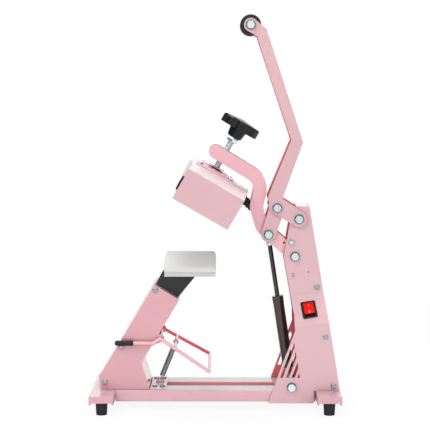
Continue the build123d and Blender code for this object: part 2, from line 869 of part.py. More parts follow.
def insulation():
    """Ceramic fibre block over the heater, with holes for the standoffs."""
    low = arch(heater_radius + heater_thickness, heater_crest + heater_thickness + 0.1, heater_half_chord)
    high = arch(heater_radius * 2, heater_crest + heater_thickness + insulation_thickness,
                heater_half_chord)
    body = extrude(Plane.YZ * arch_band(low, high), amount=heater_half_length, both=True)
    for x, y in standoff_places():
        body -= Pos(x, y, head_crest / 2) * Cylinder(standoff_radius + 0.3, head_crest * 1.5)
    return head_frame * body


def standoffs():
    """Studs that hang the heater from the bracket on top of the head."""
    pieces = []
    for x, y in standoff_places():
        low = heater_top(y) - stud_depth + 2 * stud_gap
        high = stud_seat(y)
        stud = Pos(x, y, (low + high) / 2) * Cylinder(standoff_radius - stud_gap, high - low)
        head = Pos(x, y, high) * pan_screw(standoff_radius - stud_gap, stud_head_radius, stud_head_height, 1)
        pieces.append(stud + head)
    return head_frame * group(pieces)


def head_bracket():
    """A saddle that follows the cover, which the screw's collar bears on, with a keeper over the collar."""
    low = arch(cover_radius(), head_crest, bracket_half_width)
    high = arch(cover_radius() + bracket_sheet, head_crest + bracket_sheet, bracket_half_width)
    saddle = extrude(Plane.YZ * arch_band(low, high), amount=bracket_half_length, both=True)
    saddle = Pos(screw_offset + bracket_shift, 0, 0) * saddle
    for x, y in standoff_places():
        saddle -= Pos(x, y, head_crest) * Cylinder(standoff_radius, 12 * bracket_sheet)
        saddle -= Pos(x, y, stud_seat(y)) * Cylinder(stud_head_radius + stud_gap, 2 * bracket_sheet,
                                                     align=(Align.CENTER, Align.CENTER, Align.MIN))
    bed = saddle_top(0) - saddle_top(keeper_half_width) + 0.1
    rise = collar_height + 2 * collar_gap + keeper_sheet
    bend = keeper_half_length - keeper_foot
    path = [(-keeper_half_length, keeper_sheet - bed), (-bend, keeper_sheet - bed), (-bend, rise),
            (bend, rise), (bend, keeper_sheet - bed), (keeper_half_length, keeper_sheet - bed)]
    keeper = extrude(Plane.XZ * strip(path, keeper_sheet), amount=keeper_half_width, both=True)
    keeper -= Cylinder(screw_radius + running_gap, 8 * rise)
    return head_frame * (saddle + Pos(screw_offset, 0, saddle_top(0)) * keeper)


def panel_plane():
    return head_frame * Pos(-head_half_length, 0, panel_low + panel_height / 2) * Rot(0, -90, 0)


def control_positions():
    """Display to the left of the panel and a row of buttons to its right, seen from the front."""
    first = panel_width / 2 - 8 - (button_count - 1) * button_pitch
    return [first + i * button_pitch for i in range(button_count)]


def control_panel():
    """Faceplate on the front end, with a window and openings for the buttons."""
    plate = extrude(RectangleRounded(panel_height, panel_width, 2.5), panel_thickness)
    plate = fillet(plate.faces().sort_by(Axis.Z)[-1].edges(), 0.8)
    plate -= Pos(0, -panel_width / 4 + 2, panel_thickness) * Box(display_height, display_width, 2.4)
    for y in control_positions():
        plate -= Pos(0, y, panel_thickness) * Cylinder(button_radius + 0.3, 4)
    return panel_plane() * plate


def display_window():
    window = Pos(0, -panel_width / 4 + 2, panel_thickness - 0.7) * Box(display_height - 0.2,
                                                                      display_width - 0.2, 1.0)
    return panel_plane() * window


def button(y):
    low = panel_thickness - 1.9 + 0.8
    cap = Pos(0, y, low) * Cylinder(button_radius, panel_thickness + button_stand - low,
                                    align=(Align.CENTER, Align.CENTER, Align.MIN))
    cap = fillet(cap.faces().sort_by(Axis.Z)[-1].edges(), 0.5)
    return panel_plane() * cap


def cable_boot():
    """Ribbed strain relief on the rear end, pointing down between the arm plates."""
    step = boot_length / (2 * boot_ribs)
    profile = [(0, -boot_root), (boot_radius, -boot_root)]
    for i in range(boot_ribs):
        radius = boot_radius - (boot_radius - boot_tip_radius) * (i + 1) / boot_ribs
        rise = (2 * i + 1) * step
        groove = radius - boot_groove
        profile += [(radius + boot_lip, rise), (groove, rise), (groove, rise + step), (radius, rise + step)]
    profile.append((0, boot_length))
    body = revolve(Plane.XZ * outline(profile), Axis.Z)
    body -= Cylinder(cable_radius, 3 * boot_length)
    inside = Pos(head_half_length, 0, boot_height) * Box(
        boot_length, 4 * boot_radius, 4 * boot_radius, align=(Align.MAX, Align.CENTER, Align.CENTER))
    return head_frame * (boot_place() * body - inside)


# ---------------------------------------------------------------- pressure screw and knob
def pressure_screw():
    length = knob_low + knob_hub_length + knob_bore_rise - screw_low
    shaft = Pos(0, 0, screw_low + length / 2) * Cylinder(screw_radius, length)
    collar = Pos(0, 0, screw_low) * Cylinder(collar_radius, collar_height,
                                             align=(Align.CENTER, Align.CENTER, Align.MIN))
    return head_frame * Pos(screw_offset, 0, 0) * (shaft + collar)


def jam_nut():
    nut = hexagon(jam_nut_flats, jam_nut_height) - Cylinder(screw_radius, 4 * jam_nut_height)
    return head_frame * Pos(screw_offset, 0, knob_low - jam_nut_height) * nut


def knob_crown():
    """The knob's head before its hollows are cut: a low dome with round shoulders."""
    low = knob_hub_length
    top = knob_hub_length + knob_plate
    edge = FilletPolyline((0, low), (knob_radius, low), (knob_radius, top - knob_dome), (0, top),
                          radius=(knob_low_round, knob_top_round))
    return revolve(Plane.XZ * make_face(edge + Line((0, top), (0, low))), Axis.Z)


def knob():
    """Star knob: a domed head with hollows cut between round lobes, on a tapered hub."""
    star = Circle(knob_radius)
    out = knob_radius + knob_hollow_radius - knob_hollow_depth
    for i in range(knob_lobes):
        turn = Rot(0, 0, 90 + knob_turn + i * 360 / knob_lobes)
        star -= turn * Pos(out, 0) * Circle(knob_hollow_radius)
    star = fillet(star.vertices(), knob_lobe_fillet)
    hub = Cylinder(knob_hub_top_radius, knob_hub_length, align=(Align.CENTER, Align.CENTER, Align.MIN))
    hub &= Pos(0, 0, knob_hub_length / 2) * Cone(knob_hub_radius, knob_hub_top_radius, knob_hub_length)
    head = extrude(star, knob_hub_length + knob_plate) & knob_crown()
    bore = Cylinder(screw_radius, knob_hub_length + knob_bore_rise,
                    align=(Align.CENTER, Align.CENTER, Align.MIN))
    return head_frame * Pos(screw_offset, 0, knob_low) * (head + hub - bore)


# ---------------------------------------------------------------- gas spring
def gas_plane():
    """Axis of the gas spring, from its lower eye to its upper one."""
    start = Vector(gas_low_pivot[0], 0, gas_low_pivot[1])
    end = Vector(link_arm_pivot[0], 0, link_arm_pivot[1])
    return Plane(origin=start, x_dir=(0, 1, 0), z_dir=(end - start).normalized()), (end - start).length


def eye(hole_radius):
    body = Rot(0, 90, 0) * Cylinder(gas_eye_radius, gas_eye_width)
    return body - Rot(0, 90, 0) * Cylinder(hole_radius, gas_eye_width + 2)


def gas_tube():
    plane, length = gas_plane()
    tube = Cylinder(gas_tube_radius, gas_tube_length, align=(Align.CENTER, Align.CENTER, Align.MIN))
    tube = fillet(tube.faces().sort_by(Axis.Z)[0].edges(), 2.5)
    collar = Pos(0, 0, gas_tube_length - gas_collar_height) * Cylinder(
        gas_collar_radius, gas_collar_height, align=(Align.CENTER, Align.CENTER, Align.MIN))
    collar = fillet(collar.edges().filter_by(GeomType.CIRCLE), 1.0)
    bore = Pos(0, 0, gas_tube_length - gas_rod_buried - 30) * Cylinder(
        gas_rod_radius + running_gap, gas_tube_length, align=(Align.CENTER, Align.CENTER, Align.MIN))
    return plane.location * Pos(0, 0, gas_tube_start) * (tube + collar - bore)


def gas_tube_eye():
    plane, length = gas_plane()
    neck = Cylinder(gas_neck_radius, gas_tube_start, align=(Align.CENTER, Align.CENTER, Align.MIN))
    neck -= Rot(0, 90, 0) * Cylinder(gas_eye_radius - 1, 40)
    return plane.location * (eye(pivot_radius + running_gap) + neck)


def gas_rod():
    plane, length = gas_plane()
    low = gas_tube_start + gas_tube_length - gas_rod_buried
    high = length - gas_eye_radius - 8
    rod = Pos(0, 0, (low + high) / 2) * Cylinder(gas_rod_radius, high - low)
    return plane.location * rod


def gas_rod_eye():
    plane, length = gas_plane()
    neck_length = gas_eye_radius + 8
    neck = Pos(0, 0, -neck_length) * Cylinder(gas_neck_radius, neck_length,
                                              align=(Align.CENTER, Align.CENTER, Align.MIN))
    neck -= Rot(0, 90, 0) * Cylinder(gas_eye_radius - 1, 40)
    return plane.location * Pos(0, 0, length) * (eye(pivot_radius + open_pivot_gap) + neck)


# ---------------------------------------------------------------- pedestal and lower platen
def pedestal_points():
    return [(pedestal_front_foot_x, cross_top), pedestal_front_knee, pedestal_top_front,
            pedestal_top_rear, pedestal_waist, (pedestal_rear_foot_x, cross_top)]


def pedestal_plate():
    body = rounded(pedestal_points(), [0, 2, 1, 1, 3, 0])
    ear = round_hull((bail_pivot, bail_ear_radius), (along(bail_pivot, pedestal_waist, 22, -8), 3))
    plate = slab(body + ear, -pedestal_outer, -pedestal_inner)
    plate -= rod_y(bail_wire_radius + running_gap, bail_pivot, -pedestal_outer - 1, 0)
    for place in pedestal_screws:
        plate -= rod_y(small_shank_radius + thread_gap, place, -pedestal_outer - 1, 0)
    return plate


def pedestal_front():
    """Front cover with flanges folded back inside the side plates."""
    edge = pedestal_points()[:3]
    half = pedestal_inner - 0.1
    cover = slab(strip(edge, pedestal_cover_sheet), -half, half)
    flange = slab(strip(edge, pedestal_flange), -half, -half + pedestal_cover_sheet)
    for piece in both_sides(flange):
        cover += piece
    for place in pedestal_screws:
        cover -= rod_y(small_shank_radius + thread_gap, place, -pedestal_outer, pedestal_outer)
    return cover - pedestal_top_space()


def pedestal_top_space():
    """Everything above the underside of the top plate."""
    under = pedestal_top_sheet + 0.1
    low = along(pedestal_top_front, pedestal_top_rear, -60, -under)
    high = along(pedestal_top_front, pedestal_top_rear, 110, -under)
    return slab(strip([high, low], 60), -pedestal_outer, pedestal_outer)


def pedestal_rear():
    edge = pedestal_points()[3:]
    half = pedestal_inner - 0.1
    cover = slab(strip(edge, pedestal_cover_sheet), -half, half)
    under = Pos(0, 0, cross_top - half_base) * Box(base_length, base_length, base_length)
    return cover - pedestal_top_space() - under


def pedestal_top():
    half = pedestal_inner - 0.1
    plate = slab(strip([pedestal_top_front, pedestal_top_rear], pedestal_top_sheet), -half, half)
    for place in platen_bolt_places():
        plate -= place * Cylinder(pivot_radius + 0.2, 30)
    return plate


def platen_bolt_places():
    """Two bolts side by side through the top plate into the platen bracket."""
    middle = ((pedestal_top_front[0] + pedestal_top_rear[0]) / 2,
              (pedestal_top_front[1] + pedestal_top_rear[1]) / 2)
    slope = degrees(atan2(pedestal_top_front[1] - pedestal_top_rear[1],
                          pedestal_top_rear[0] - pedestal_top_front[0]))
    return [Pos(middle[0], y, middle[1]) * Rot(0, slope, 0) for y in (-14, 14)]


def closed_head_centre():
    """Middle of the head's lower edge once the arm has turned level."""
    dx, dz = head_centre[0] - arm_pivot[0], head_centre[1] - arm_pivot[1]
    turn = radians(head_tilt)
    return (arm_pivot[0] + dx * cos(turn) - dz * sin(turn), arm_pivot[1] + dx * sin(turn) + dz * cos(turn))


def platen_layer(outer_radius, thickness, half_chord, half_length):
    """A curved layer of the lower platen, sharing the heater's centre of curvature."""
    x, base = closed_head_centre()
    centre = base + heater_crest - heater_radius
    inner = outer_radius - thickness
    low = arch(inner, centre + inner, half_chord)
    high = arch(outer_radius, centre + outer_radius, half_chord)
    return Pos(x, 0, 0) * extrude(Plane.YZ * arch_band(low, high), amount=half_length, both=True)


def platen_pad():
    pad = platen_layer(heater_radius - platen_gap, pad_thickness, platen_half_chord + 2,
                       platen_half_length + 1)
    return fillet(pad.edges().filter_by(GeomType.CIRCLE).sort_by_distance((0, 0, 600))[:2], 2.5)


def platen_saddle():
    return platen_layer(heater_radius - platen_gap - pad_thickness, saddle_thickness,
                        platen_half_chord, platen_half_length)


def platen_bracket():
    """Folded bracket: a base on the pedestal and two cheeks that carry the curved saddle."""
    x, base = closed_head_centre()
    under = heater_radius - platen_gap - pad_thickness - saddle_thickness
    centre = base + heater_crest - heater_radius
    top = centre + sqrt(under ** 2 - cheek_half ** 2)
    front = along(pedestal_top_front, pedestal_top_rear, cheek_setback)
    rear = along(pedestal_top_rear, pedestal_top_front, cheek_setback)
    tucked = top + cheek_tuck
    cheek = outline([front, (x - cheek_top_half, tucked), (x + cheek_top_half, tucked), rear])
    cheeks = both_sides(slab(cheek, -cheek_half, -cheek_half + cheek_sheet))
    body = slab(strip([rear, front], cheek_sheet), -cheek_half, cheek_half) + cheeks[0] + cheeks[1]
    web_start = x - cheek_top_half + cheek_tuck
    body += slab(strip([(web_start, top - web_drop), (web_start + web_length, top - web_drop)], web_sheet),
                 -cheek_half, cheek_half)
    keep = Pos(x, 0, centre) * Rot(0, 90, 0) * Cylinder(under, 300)
    body = body & keep
    for place in platen_bolt_places():
        body -= place * Cylinder(pivot_radius + 0.2, 30)
    return body


def platen_bolts():
    pieces = []
    for place in platen_bolt_places():
        head = Pos(0, 0, cheek_sheet) * hexagon(hex_flats, hex_height)
        shank = Pos(0, 0, -4) * Cylinder(pivot_radius, 2 * cheek_sheet + pedestal_top_sheet + 4)
        nut = Pos(0, 0, -pedestal_top_sheet) * Rot(180, 0, 0) * hexagon(hex_flats, nut_height)
        pieces.append(place * (head + shank))
        pieces.append(place * (nut - Cylinder(pivot_radius, 60)))
    return group(pieces)


# ---------------------------------------------------------------- cap tensioner
def round_bar(start, end, radius):
    """A straight round bar with ball ends between two points of space."""
    start, end = Vector(*start), Vector(*end)
    middle = (start + end) * 0.5
    bar = Plane(origin=middle, z_dir=(end - start).normalized()).location * Cylinder(
        radius, (end - start).length)
    return bar + Pos(*start) * Sphere(radius) + Pos(*end) * Sphere(radius)


def bail_point(distance, side):
    """A point on a side arm of the bail, distance from the pivot."""
    drop = radians(bail_drop)
    y = pedestal_outer + bail_side_gap + bail_wire_radius + bail_splay * distance / bail_reach
    return (bail_pivot[0] + distance * cos(drop), side * y, bail_pivot[1] - distance * sin(drop))


def tensioner_bail():
    """Axle, two splayed arms, a cross bar for the spring, the end bar and the handle wire."""
    r = bail_wire_radius
    bail = round_bar(bail_point(0, -1), bail_point(0, 1), r)
    bail += round_bar(bail_point(bail_reach, -1), bail_point(bail_reach, 1), r)
    bail += round_bar(bail_point(bail_bar_along, -1), bail_point(bail_bar_along, 1), r)
    for side in (-1, 1):
        bail += round_bar(bail_point(0, side), bail_point(bail_reach, side), r)
    knee = (bail_pivot[0] - 12, handle_y(), handle_height)
    bail += round_bar(bail_point(0, -1), knee, r)
    bail += round_bar(knee, (handle_wire_end, handle_y(), handle_height), r)
    return bail


def handle_y():
    return -(pedestal_outer + handle_side_gap + handle_grip_radius)


def tensioner_grip():
    length = handle_grip_start - handle_grip_end
    tube = Pos(-length / 2, 0, 0) * Rot(0, -90, 0) * Cylinder(handle_grip_radius, length)
    tube = fillet(tube.faces().sort_by(Axis.X)[0].edges(), handle_grip_radius * 0.9)
    depth = handle_grip_start - handle_wire_end + bail_wire_radius
    bore = Pos(-depth / 2, 0, 0) * Rot(0, -90, 0) * Cylinder(bail_wire_radius, depth)
    return Pos(handle_grip_start, handle_y(), handle_height) * (tube - bore)


def tension_spring():
    """Close-wound extension spring from the bail's cross bar to the ear on the anchor strap."""
    x, _, z = bail_point(bail_bar_along, 1)
    top = Vector(x, 0, z)
    bottom = Vector(anchor_eye[0], 0, anchor_eye[1])
    plane = Plane(origin=bottom, x_dir=(0, 1, 0), z_dir=(top - bottom).normalized())
    length = (top - bottom).length
    upper_loop = bail_wire_radius + spring_wire_radius + 0.3
    low = 2 * spring_loop + 0.5
    high = length - upper_loop - spring_hook_length
    turns = int((high - low) / spring_pitch)
    pitch = (high - low) / turns
    profile = [(0, low)]
    for i in range(turns):
        profile.append((spring_radius - spring_wire_radius * 0.6, low + i * pitch))
        profile.append((spring_radius, low + (i + 0.5) * pitch))
    profile.append((spring_radius - spring_wire_radius * 0.6, high))
    profile.append((0, high))
    coils = revolve(Plane.XZ * outline(profile), Axis.Z)
    lower_ring = Pos(0, 0, spring_loop) * Rot(90, 0, 0) * Torus(spring_loop, spring_wire_radius)
    upper_ring = Pos(0, 0, length) * Rot(0, 90, 0) * Torus(upper_loop, spring_wire_radius)
    stem_low = length - upper_loop - spring_hook_length - 1
    stem = Pos(0, 0, stem_low) * Cylinder(spring_wire_radius, spring_hook_length + 1,
                                          align=(Align.CENTER, Align.CENTER, Align.MIN))
    return plane.location * (coils + lower_ring + upper_ring + stem)


def spring_anchor():
    """Strap across the rails with an upstanding ear for the spring's lower hook."""
    width = anchor_x[1] - anchor_x[0]
    strap = Pos((anchor_x[0] + anchor_x[1]) / 2, 0, cross_top + anchor_sheet / 2) * Box(
        width, 2 * rail_outer - 6, anchor_sheet)
    foot_level = cross_top + anchor_sheet + 0.5
    ear = slab(round_hull((anchor_eye, 4.2), ((anchor_eye[0] - 7, foot_level), 1.2),
                          ((anchor_eye[0] + 7, foot_level), 1.2)), -1.25, 1.25)
    strap = strap + ear - rod_y(2.0, anchor_eye, -5, 5)
    for x, y in anchor_screw_places():
        strap -= Pos(x, y, cross_top) * Cylinder(small_shank_radius, 20)
    return strap


def anchor_screw_places():
    middle = rail_inner + rail_width / 2
    return [(x, side * middle) for x in (anchor_x[0] + 7, anchor_x[1] - 7) for side in (-1, 1)]


def panel_screws():
    """Screws of the covers and the anchor strap, and the clip screw and rivet on the column."""
    def panel_screw(length):
        return pan_screw(small_shank_radius, small_head_radius, small_head_height, length)

    screws = []
    for x, z in cover_screw_places():
        screws += side_screws([(x, z)], column_outer_at(x, z), panel_screw(cover_sheet + column_sheet))
    screws += side_screws(pedestal_screws, pedestal_outer,
                          panel_screw(pedestal_sheet + pedestal_cover_sheet))
    screws += side_screws([clip_screw], column_head_half,
                          pan_screw(clip_shank_radius, clip_head_radius, clip_head_height, column_sheet))
    screws += side_screws([rivet], column_head_half,
                          pan_screw(clip_shank_radius, rivet_radius, rivet_height, column_sheet))
    for x, y in anchor_screw_places():
        screws.append(Pos(x, y, cross_top + anchor_sheet) * panel_screw(anchor_sheet + rail_wall))
    return group(screws)


# ---------------------------------------------------------------- export
def main():
    os.makedirs("parts", exist_ok=True)
    front_x = -(half_base - cross_width / 2)
    rear_x = -front_x
    parts = {
        "front_cross_member": cross_member(front_x),
        "rear_cross_member": cross_member(rear_x),
        "near_rail": rail(-1),
        "far_rail": rail(1),
        "near_column_plate": column_plate() - switch_opening(),
        "far_column_plate": mirror(column_plate(), about=Plane.XZ),
        "column_cover": column_cover(),
        "column_spacers": column_spacers(),
        "column_bolts": column_bolts(),
        "stop_bolt": stop_bolt(),
        "switch_housing": switch_housing(),
        "switch_rocker": rocker(),
        "cord_gland": cord_gland(),
        "near_arm_plate": arm_plate(),
        "far_arm_plate": mirror(arm_plate(), about=Plane.XZ),
        "screw_block": screw_block(),
        "arm_spacers": group(arm_sleeve(), arm_spacers()),
        "link_bolt": link_bolt(),
        "near_link": link_plate(),
        "far_link": mirror(link_plate(), about=Plane.XZ),
        "near_lever_plate": lever_plate(),
        "far_lever_plate": mirror(lever_plate(), about=Plane.XZ),
        "lever_grip": grip(),
        "lever_bolts": group(lever_bolts(), link_bolt_sleeve()),
        "head_cover": head_cover(),
        "head_front_panel": head_end(-1),
        "head_rear_panel": head_end(1),
        "heating_platen": heater(),
        "insulation": insulation(),
        "heater_studs": standoffs(),
        "head_bracket": head_bracket(),
        "control_panel": control_panel(),
        "display_window": display_window(),
        "cable_boot": cable_boot(),
        "pressure_screw": group(pressure_screw(), jam_nut()),
        "star_knob": knob(),
        "gas_tube": gas_tube(),
        "gas_tube_eye": gas_tube_eye(),
        "gas_rod": gas_rod(),
        "gas_rod_eye": gas_rod_eye(),
        "near_pedestal_plate": pedestal_plate(),
        "far_pedestal_plate": mirror(pedestal_plate(), about=Plane.XZ),
        "pedestal_front": pedestal_front(),
        "pedestal_rear": pedestal_rear(),
        "pedestal_top": pedestal_top(),
        "platen_bracket": platen_bracket(),
        "platen_saddle": platen_saddle(),
        "platen_pad": platen_pad(),
        "platen_bolts": platen_bolts(),
        "tensioner_bail": tensioner_bail(),
        "tensioner_grip": tensioner_grip(),
        "spring_anchor": spring_anchor(),
        "tension_spring": tension_spring(),
        "panel_screws": panel_screws(),
    }
    for i, y in enumerate(control_positions()):
        parts["button_" + str(i + 1)] = button(y)
    for name, x in (("front", front_x), ("rear", rear_x)):
        parts[name + "_feet"] = group([foot(x, side * (cross_length / 2 - foot_inset)) for side in (-1, 1)])
    parts["foot_screws"] = group([foot_screw(x, side * (cross_length / 2 - foot_inset))
                                  for x in (front_x, rear_x) for side in (-1, 1)])
    for name, shape in parts.items():
        export_step(shape, os.path.join("parts", name + ".step"))
        print(name, round(shape.volume), len(shape.solids()))


main()
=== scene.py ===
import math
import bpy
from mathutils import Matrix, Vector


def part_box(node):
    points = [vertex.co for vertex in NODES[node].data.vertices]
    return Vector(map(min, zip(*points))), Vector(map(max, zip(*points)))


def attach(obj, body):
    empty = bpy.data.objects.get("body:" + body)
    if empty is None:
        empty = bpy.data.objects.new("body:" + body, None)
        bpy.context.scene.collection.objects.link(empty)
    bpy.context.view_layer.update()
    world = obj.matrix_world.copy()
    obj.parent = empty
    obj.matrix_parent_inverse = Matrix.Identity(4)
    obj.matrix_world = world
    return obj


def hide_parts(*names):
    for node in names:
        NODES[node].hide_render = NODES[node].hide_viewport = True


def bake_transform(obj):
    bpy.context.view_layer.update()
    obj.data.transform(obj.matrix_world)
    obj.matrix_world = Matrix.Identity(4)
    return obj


bl_info = {
    "name": "Cap heat press",
    "version": (1, 0, 0),
    "blender": (4, 5, 0),
    "location": "3D View > Sidebar > Press",
    "description": "Dresses a cap heat press: painted steel, zinc bolts, threads, springs, switch and stage",
    "category": "Object",
}

import bmesh
import bpy
from bpy.props import FloatProperty, FloatVectorProperty, PointerProperty
from bpy.types import Operator, Panel, PropertyGroup
from mathutils import Matrix, Vector

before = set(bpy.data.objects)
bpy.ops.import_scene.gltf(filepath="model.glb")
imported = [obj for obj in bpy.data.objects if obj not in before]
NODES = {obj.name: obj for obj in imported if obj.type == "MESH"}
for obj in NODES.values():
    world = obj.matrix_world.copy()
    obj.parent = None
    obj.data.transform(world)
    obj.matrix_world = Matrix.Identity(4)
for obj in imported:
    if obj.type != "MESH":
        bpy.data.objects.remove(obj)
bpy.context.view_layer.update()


# ------------------------------------------------------------------ where things sit, in metres
def unit(x, y, z):
    return Vector((x, y, z)).normalized()


# The tilted heating head: its own origin is the middle of its lower edge, and HEAD_FRONT is its front end.
HEAD_TILT = math.radians(30.0)
HEAD_ORIGIN = Vector((-0.0262, 0.0, 0.3444))
HEAD_ALONG = Vector((math.cos(HEAD_TILT), 0.0, -math.sin(HEAD_TILT)))
HEAD_UP = Vector((math.sin(HEAD_TILT), 0.0, math.cos(HEAD_TILT)))
HEAD_FRONT = -0.0540
SCREW_FOOT = HEAD_ORIGIN + HEAD_ALONG * -0.0132
ARM_HOLE = Vector((0.1189, 0.0, 0.2885))
GAS_FOOT = Vector((0.132, 0.0, 0.0402))
GAS_TOP = Vector((0.0919, 0.0, 0.3031))
BAIL_PIVOT = Vector((-0.096, 0.0, 0.1245))
BAIL_SLOPE = math.radians(31.5)
BAR_REACH = 0.030
SPRING_EYE = Vector((-0.098, 0.0, 0.041))
SPRING_BAR = BAIL_PIVOT + Vector((math.cos(BAIL_SLOPE), 0.0, -math.sin(BAIL_SLOPE))) * BAR_REACH
SWITCH_MIDDLE = Vector((0.1621550, -0.0435, 0.1738073))
SWITCH_ACROSS = unit(0.98568265, 0.02645561, 0.16652272)
SWITCH_OUT = unit(-0.06160444, -0.86282906, 0.50172792)
X_AXIS, Y_AXIS, Z_AXIS = (Vector(axis) for axis in ((1.0, 0.0, 0.0), (0.0, 1.0, 0.0), (0.0, 0.0, 1.0)))
NOWHERE = Vector((0.0, 0.0, 0.0))
QUARTER_TURN, FULL_TURN = math.pi / 2.0, 2.0 * math.pi
# WELD merges points, a length under HAIR is none, and an edge over SHARP_ANGLE, in radians, gets eased.
WELD = 0.00001
HAIR = 0.0001
SHARP_ANGLE = 0.8


def place(origin, along, up):
    """A matrix that stands at origin, with its X along and its Z up."""
    x = along.normalized()
    z = up.normalized()
    y = z.cross(x)
    return Matrix(((x.x, y.x, z.x, origin.x), (x.y, y.y, z.y, origin.y),
                   (x.z, y.z, z.z, origin.z), (0.0, 0.0, 0.0, 1.0)))


# ------------------------------------------------------------------ sizes and colours to change
class PressSizes(PropertyGroup):
    thread_pitch: FloatProperty(
        name="Screw pitch", description="Distance between two turns of the pressure screw's thread",
        default=0.0020, min=0.001, max=0.004, unit="LENGTH")
    thread_depth: FloatProperty(
        name="Thread depth", description="Depth of the pressure screw's thread",
        default=0.0009, min=0.0002, max=0.002, unit="LENGTH")
    spring_wire: FloatProperty(
        name="Spring wire", description="Radius of the wire of the tension spring",
        default=0.0008, min=0.0004, max=0.0015, unit="LENGTH")
    spring_radius: FloatProperty(
        name="Spring radius", description="Outer radius of the tension spring's coils",
        default=0.0050, min=0.003, max=0.008, unit="LENGTH")
    pad_hollow: FloatProperty(
        name="Pad hollow", description="How far the pad's sides pull in between its corners",
        default=0.0014, min=0.0, max=0.004, unit="LENGTH")
    pad_grain: FloatProperty(
        name="Pad mesh", description="Size of the even mesh of the soft pieces",
        default=0.0018, min=0.001, max=0.004, unit="LENGTH")
    digit_height: FloatProperty(
        name="Digit height", description="Height of the figures in the display",
        default=0.0085, min=0.004, max=0.012, unit="LENGTH")


class PressColours(PropertyGroup):
    coat: FloatVectorProperty(
        name="Powder coat", description="Colour of the painted steel",
        default=(0.775, 0.480, 0.515), min=0.0, max=1.0, subtype="COLOR")
    zinc: FloatVectorProperty(
        name="Zinc", description="Colour of the bolts, nuts and washers",
        default=(0.64, 0.84, 0.90), min=0.0, max=1.0, subtype="COLOR")
    plastic: FloatVectorProperty(
        name="Black plastic", description="Colour of the knob and the bezels",
        default=(0.011, 0.011, 0.012), min=0.0, max=1.0, subtype="COLOR")
    rubber: FloatVectorProperty(
        name="Rubber", description="Colour of the grips and feet",
        default=(0.013, 0.013, 0.014), min=0.0, max=1.0, subtype="COLOR")
    rocker: FloatVectorProperty(
        name="Rocker", description="Colour of the switch's rocker",
        default=(0.95, 0.008, 0.005), min=0.0, max=1.0, subtype="COLOR")
    silicone: FloatVectorProperty(
        name="Silicone", description="Colour of the pad on the lower platen",
        default=(0.74, 0.74, 0.72), min=0.0, max=1.0, subtype="COLOR")
    floor: FloatVectorProperty(
        name="Floor", description="Colour of the floor and the backdrop",
        default=(0.92, 0.92, 0.92), min=0.0, max=1.0, subtype="COLOR")


def sizes():
    return bpy.context.scene.press_sizes


def colours():
    return bpy.context.scene.press_colours


# ------------------------------------------------------------------ shader maths
class Wire:
    """One output of a shader node. + - * and / on it add Math nodes."""

    def __init__(self, board, socket):
        self.board = board
        self.socket = socket

    def maths(self, operation, *values):
        return self.board.node("ShaderNodeMath", {"operation": operation}, dict(enumerate(values)))

    def __add__(self, other):
        return self.maths("ADD", self, other)

    def __radd__(self, other):
        return self.maths("ADD", other, self)

    def __sub__(self, other):
        return self.maths("SUBTRACT", self, other)

    def __rsub__(self, other):
        return self.maths("SUBTRACT", other, self)

    def __mul__(self, other):
        return self.maths("MULTIPLY", self, other)

    def __rmul__(self, other):
        return self.maths("MULTIPLY", other, self)

    def __truediv__(self, other):
        return self.maths("DIVIDE", self, other)

    def __rtruediv__(self, other):
        return self.maths("DIVIDE", other, self)

    def magnitude(self):
        return self.maths("ABSOLUTE", self)

    def clipped(self):
        return self.maths("MINIMUM", self.maths("MAXIMUM", self, 0.0), 1.0)


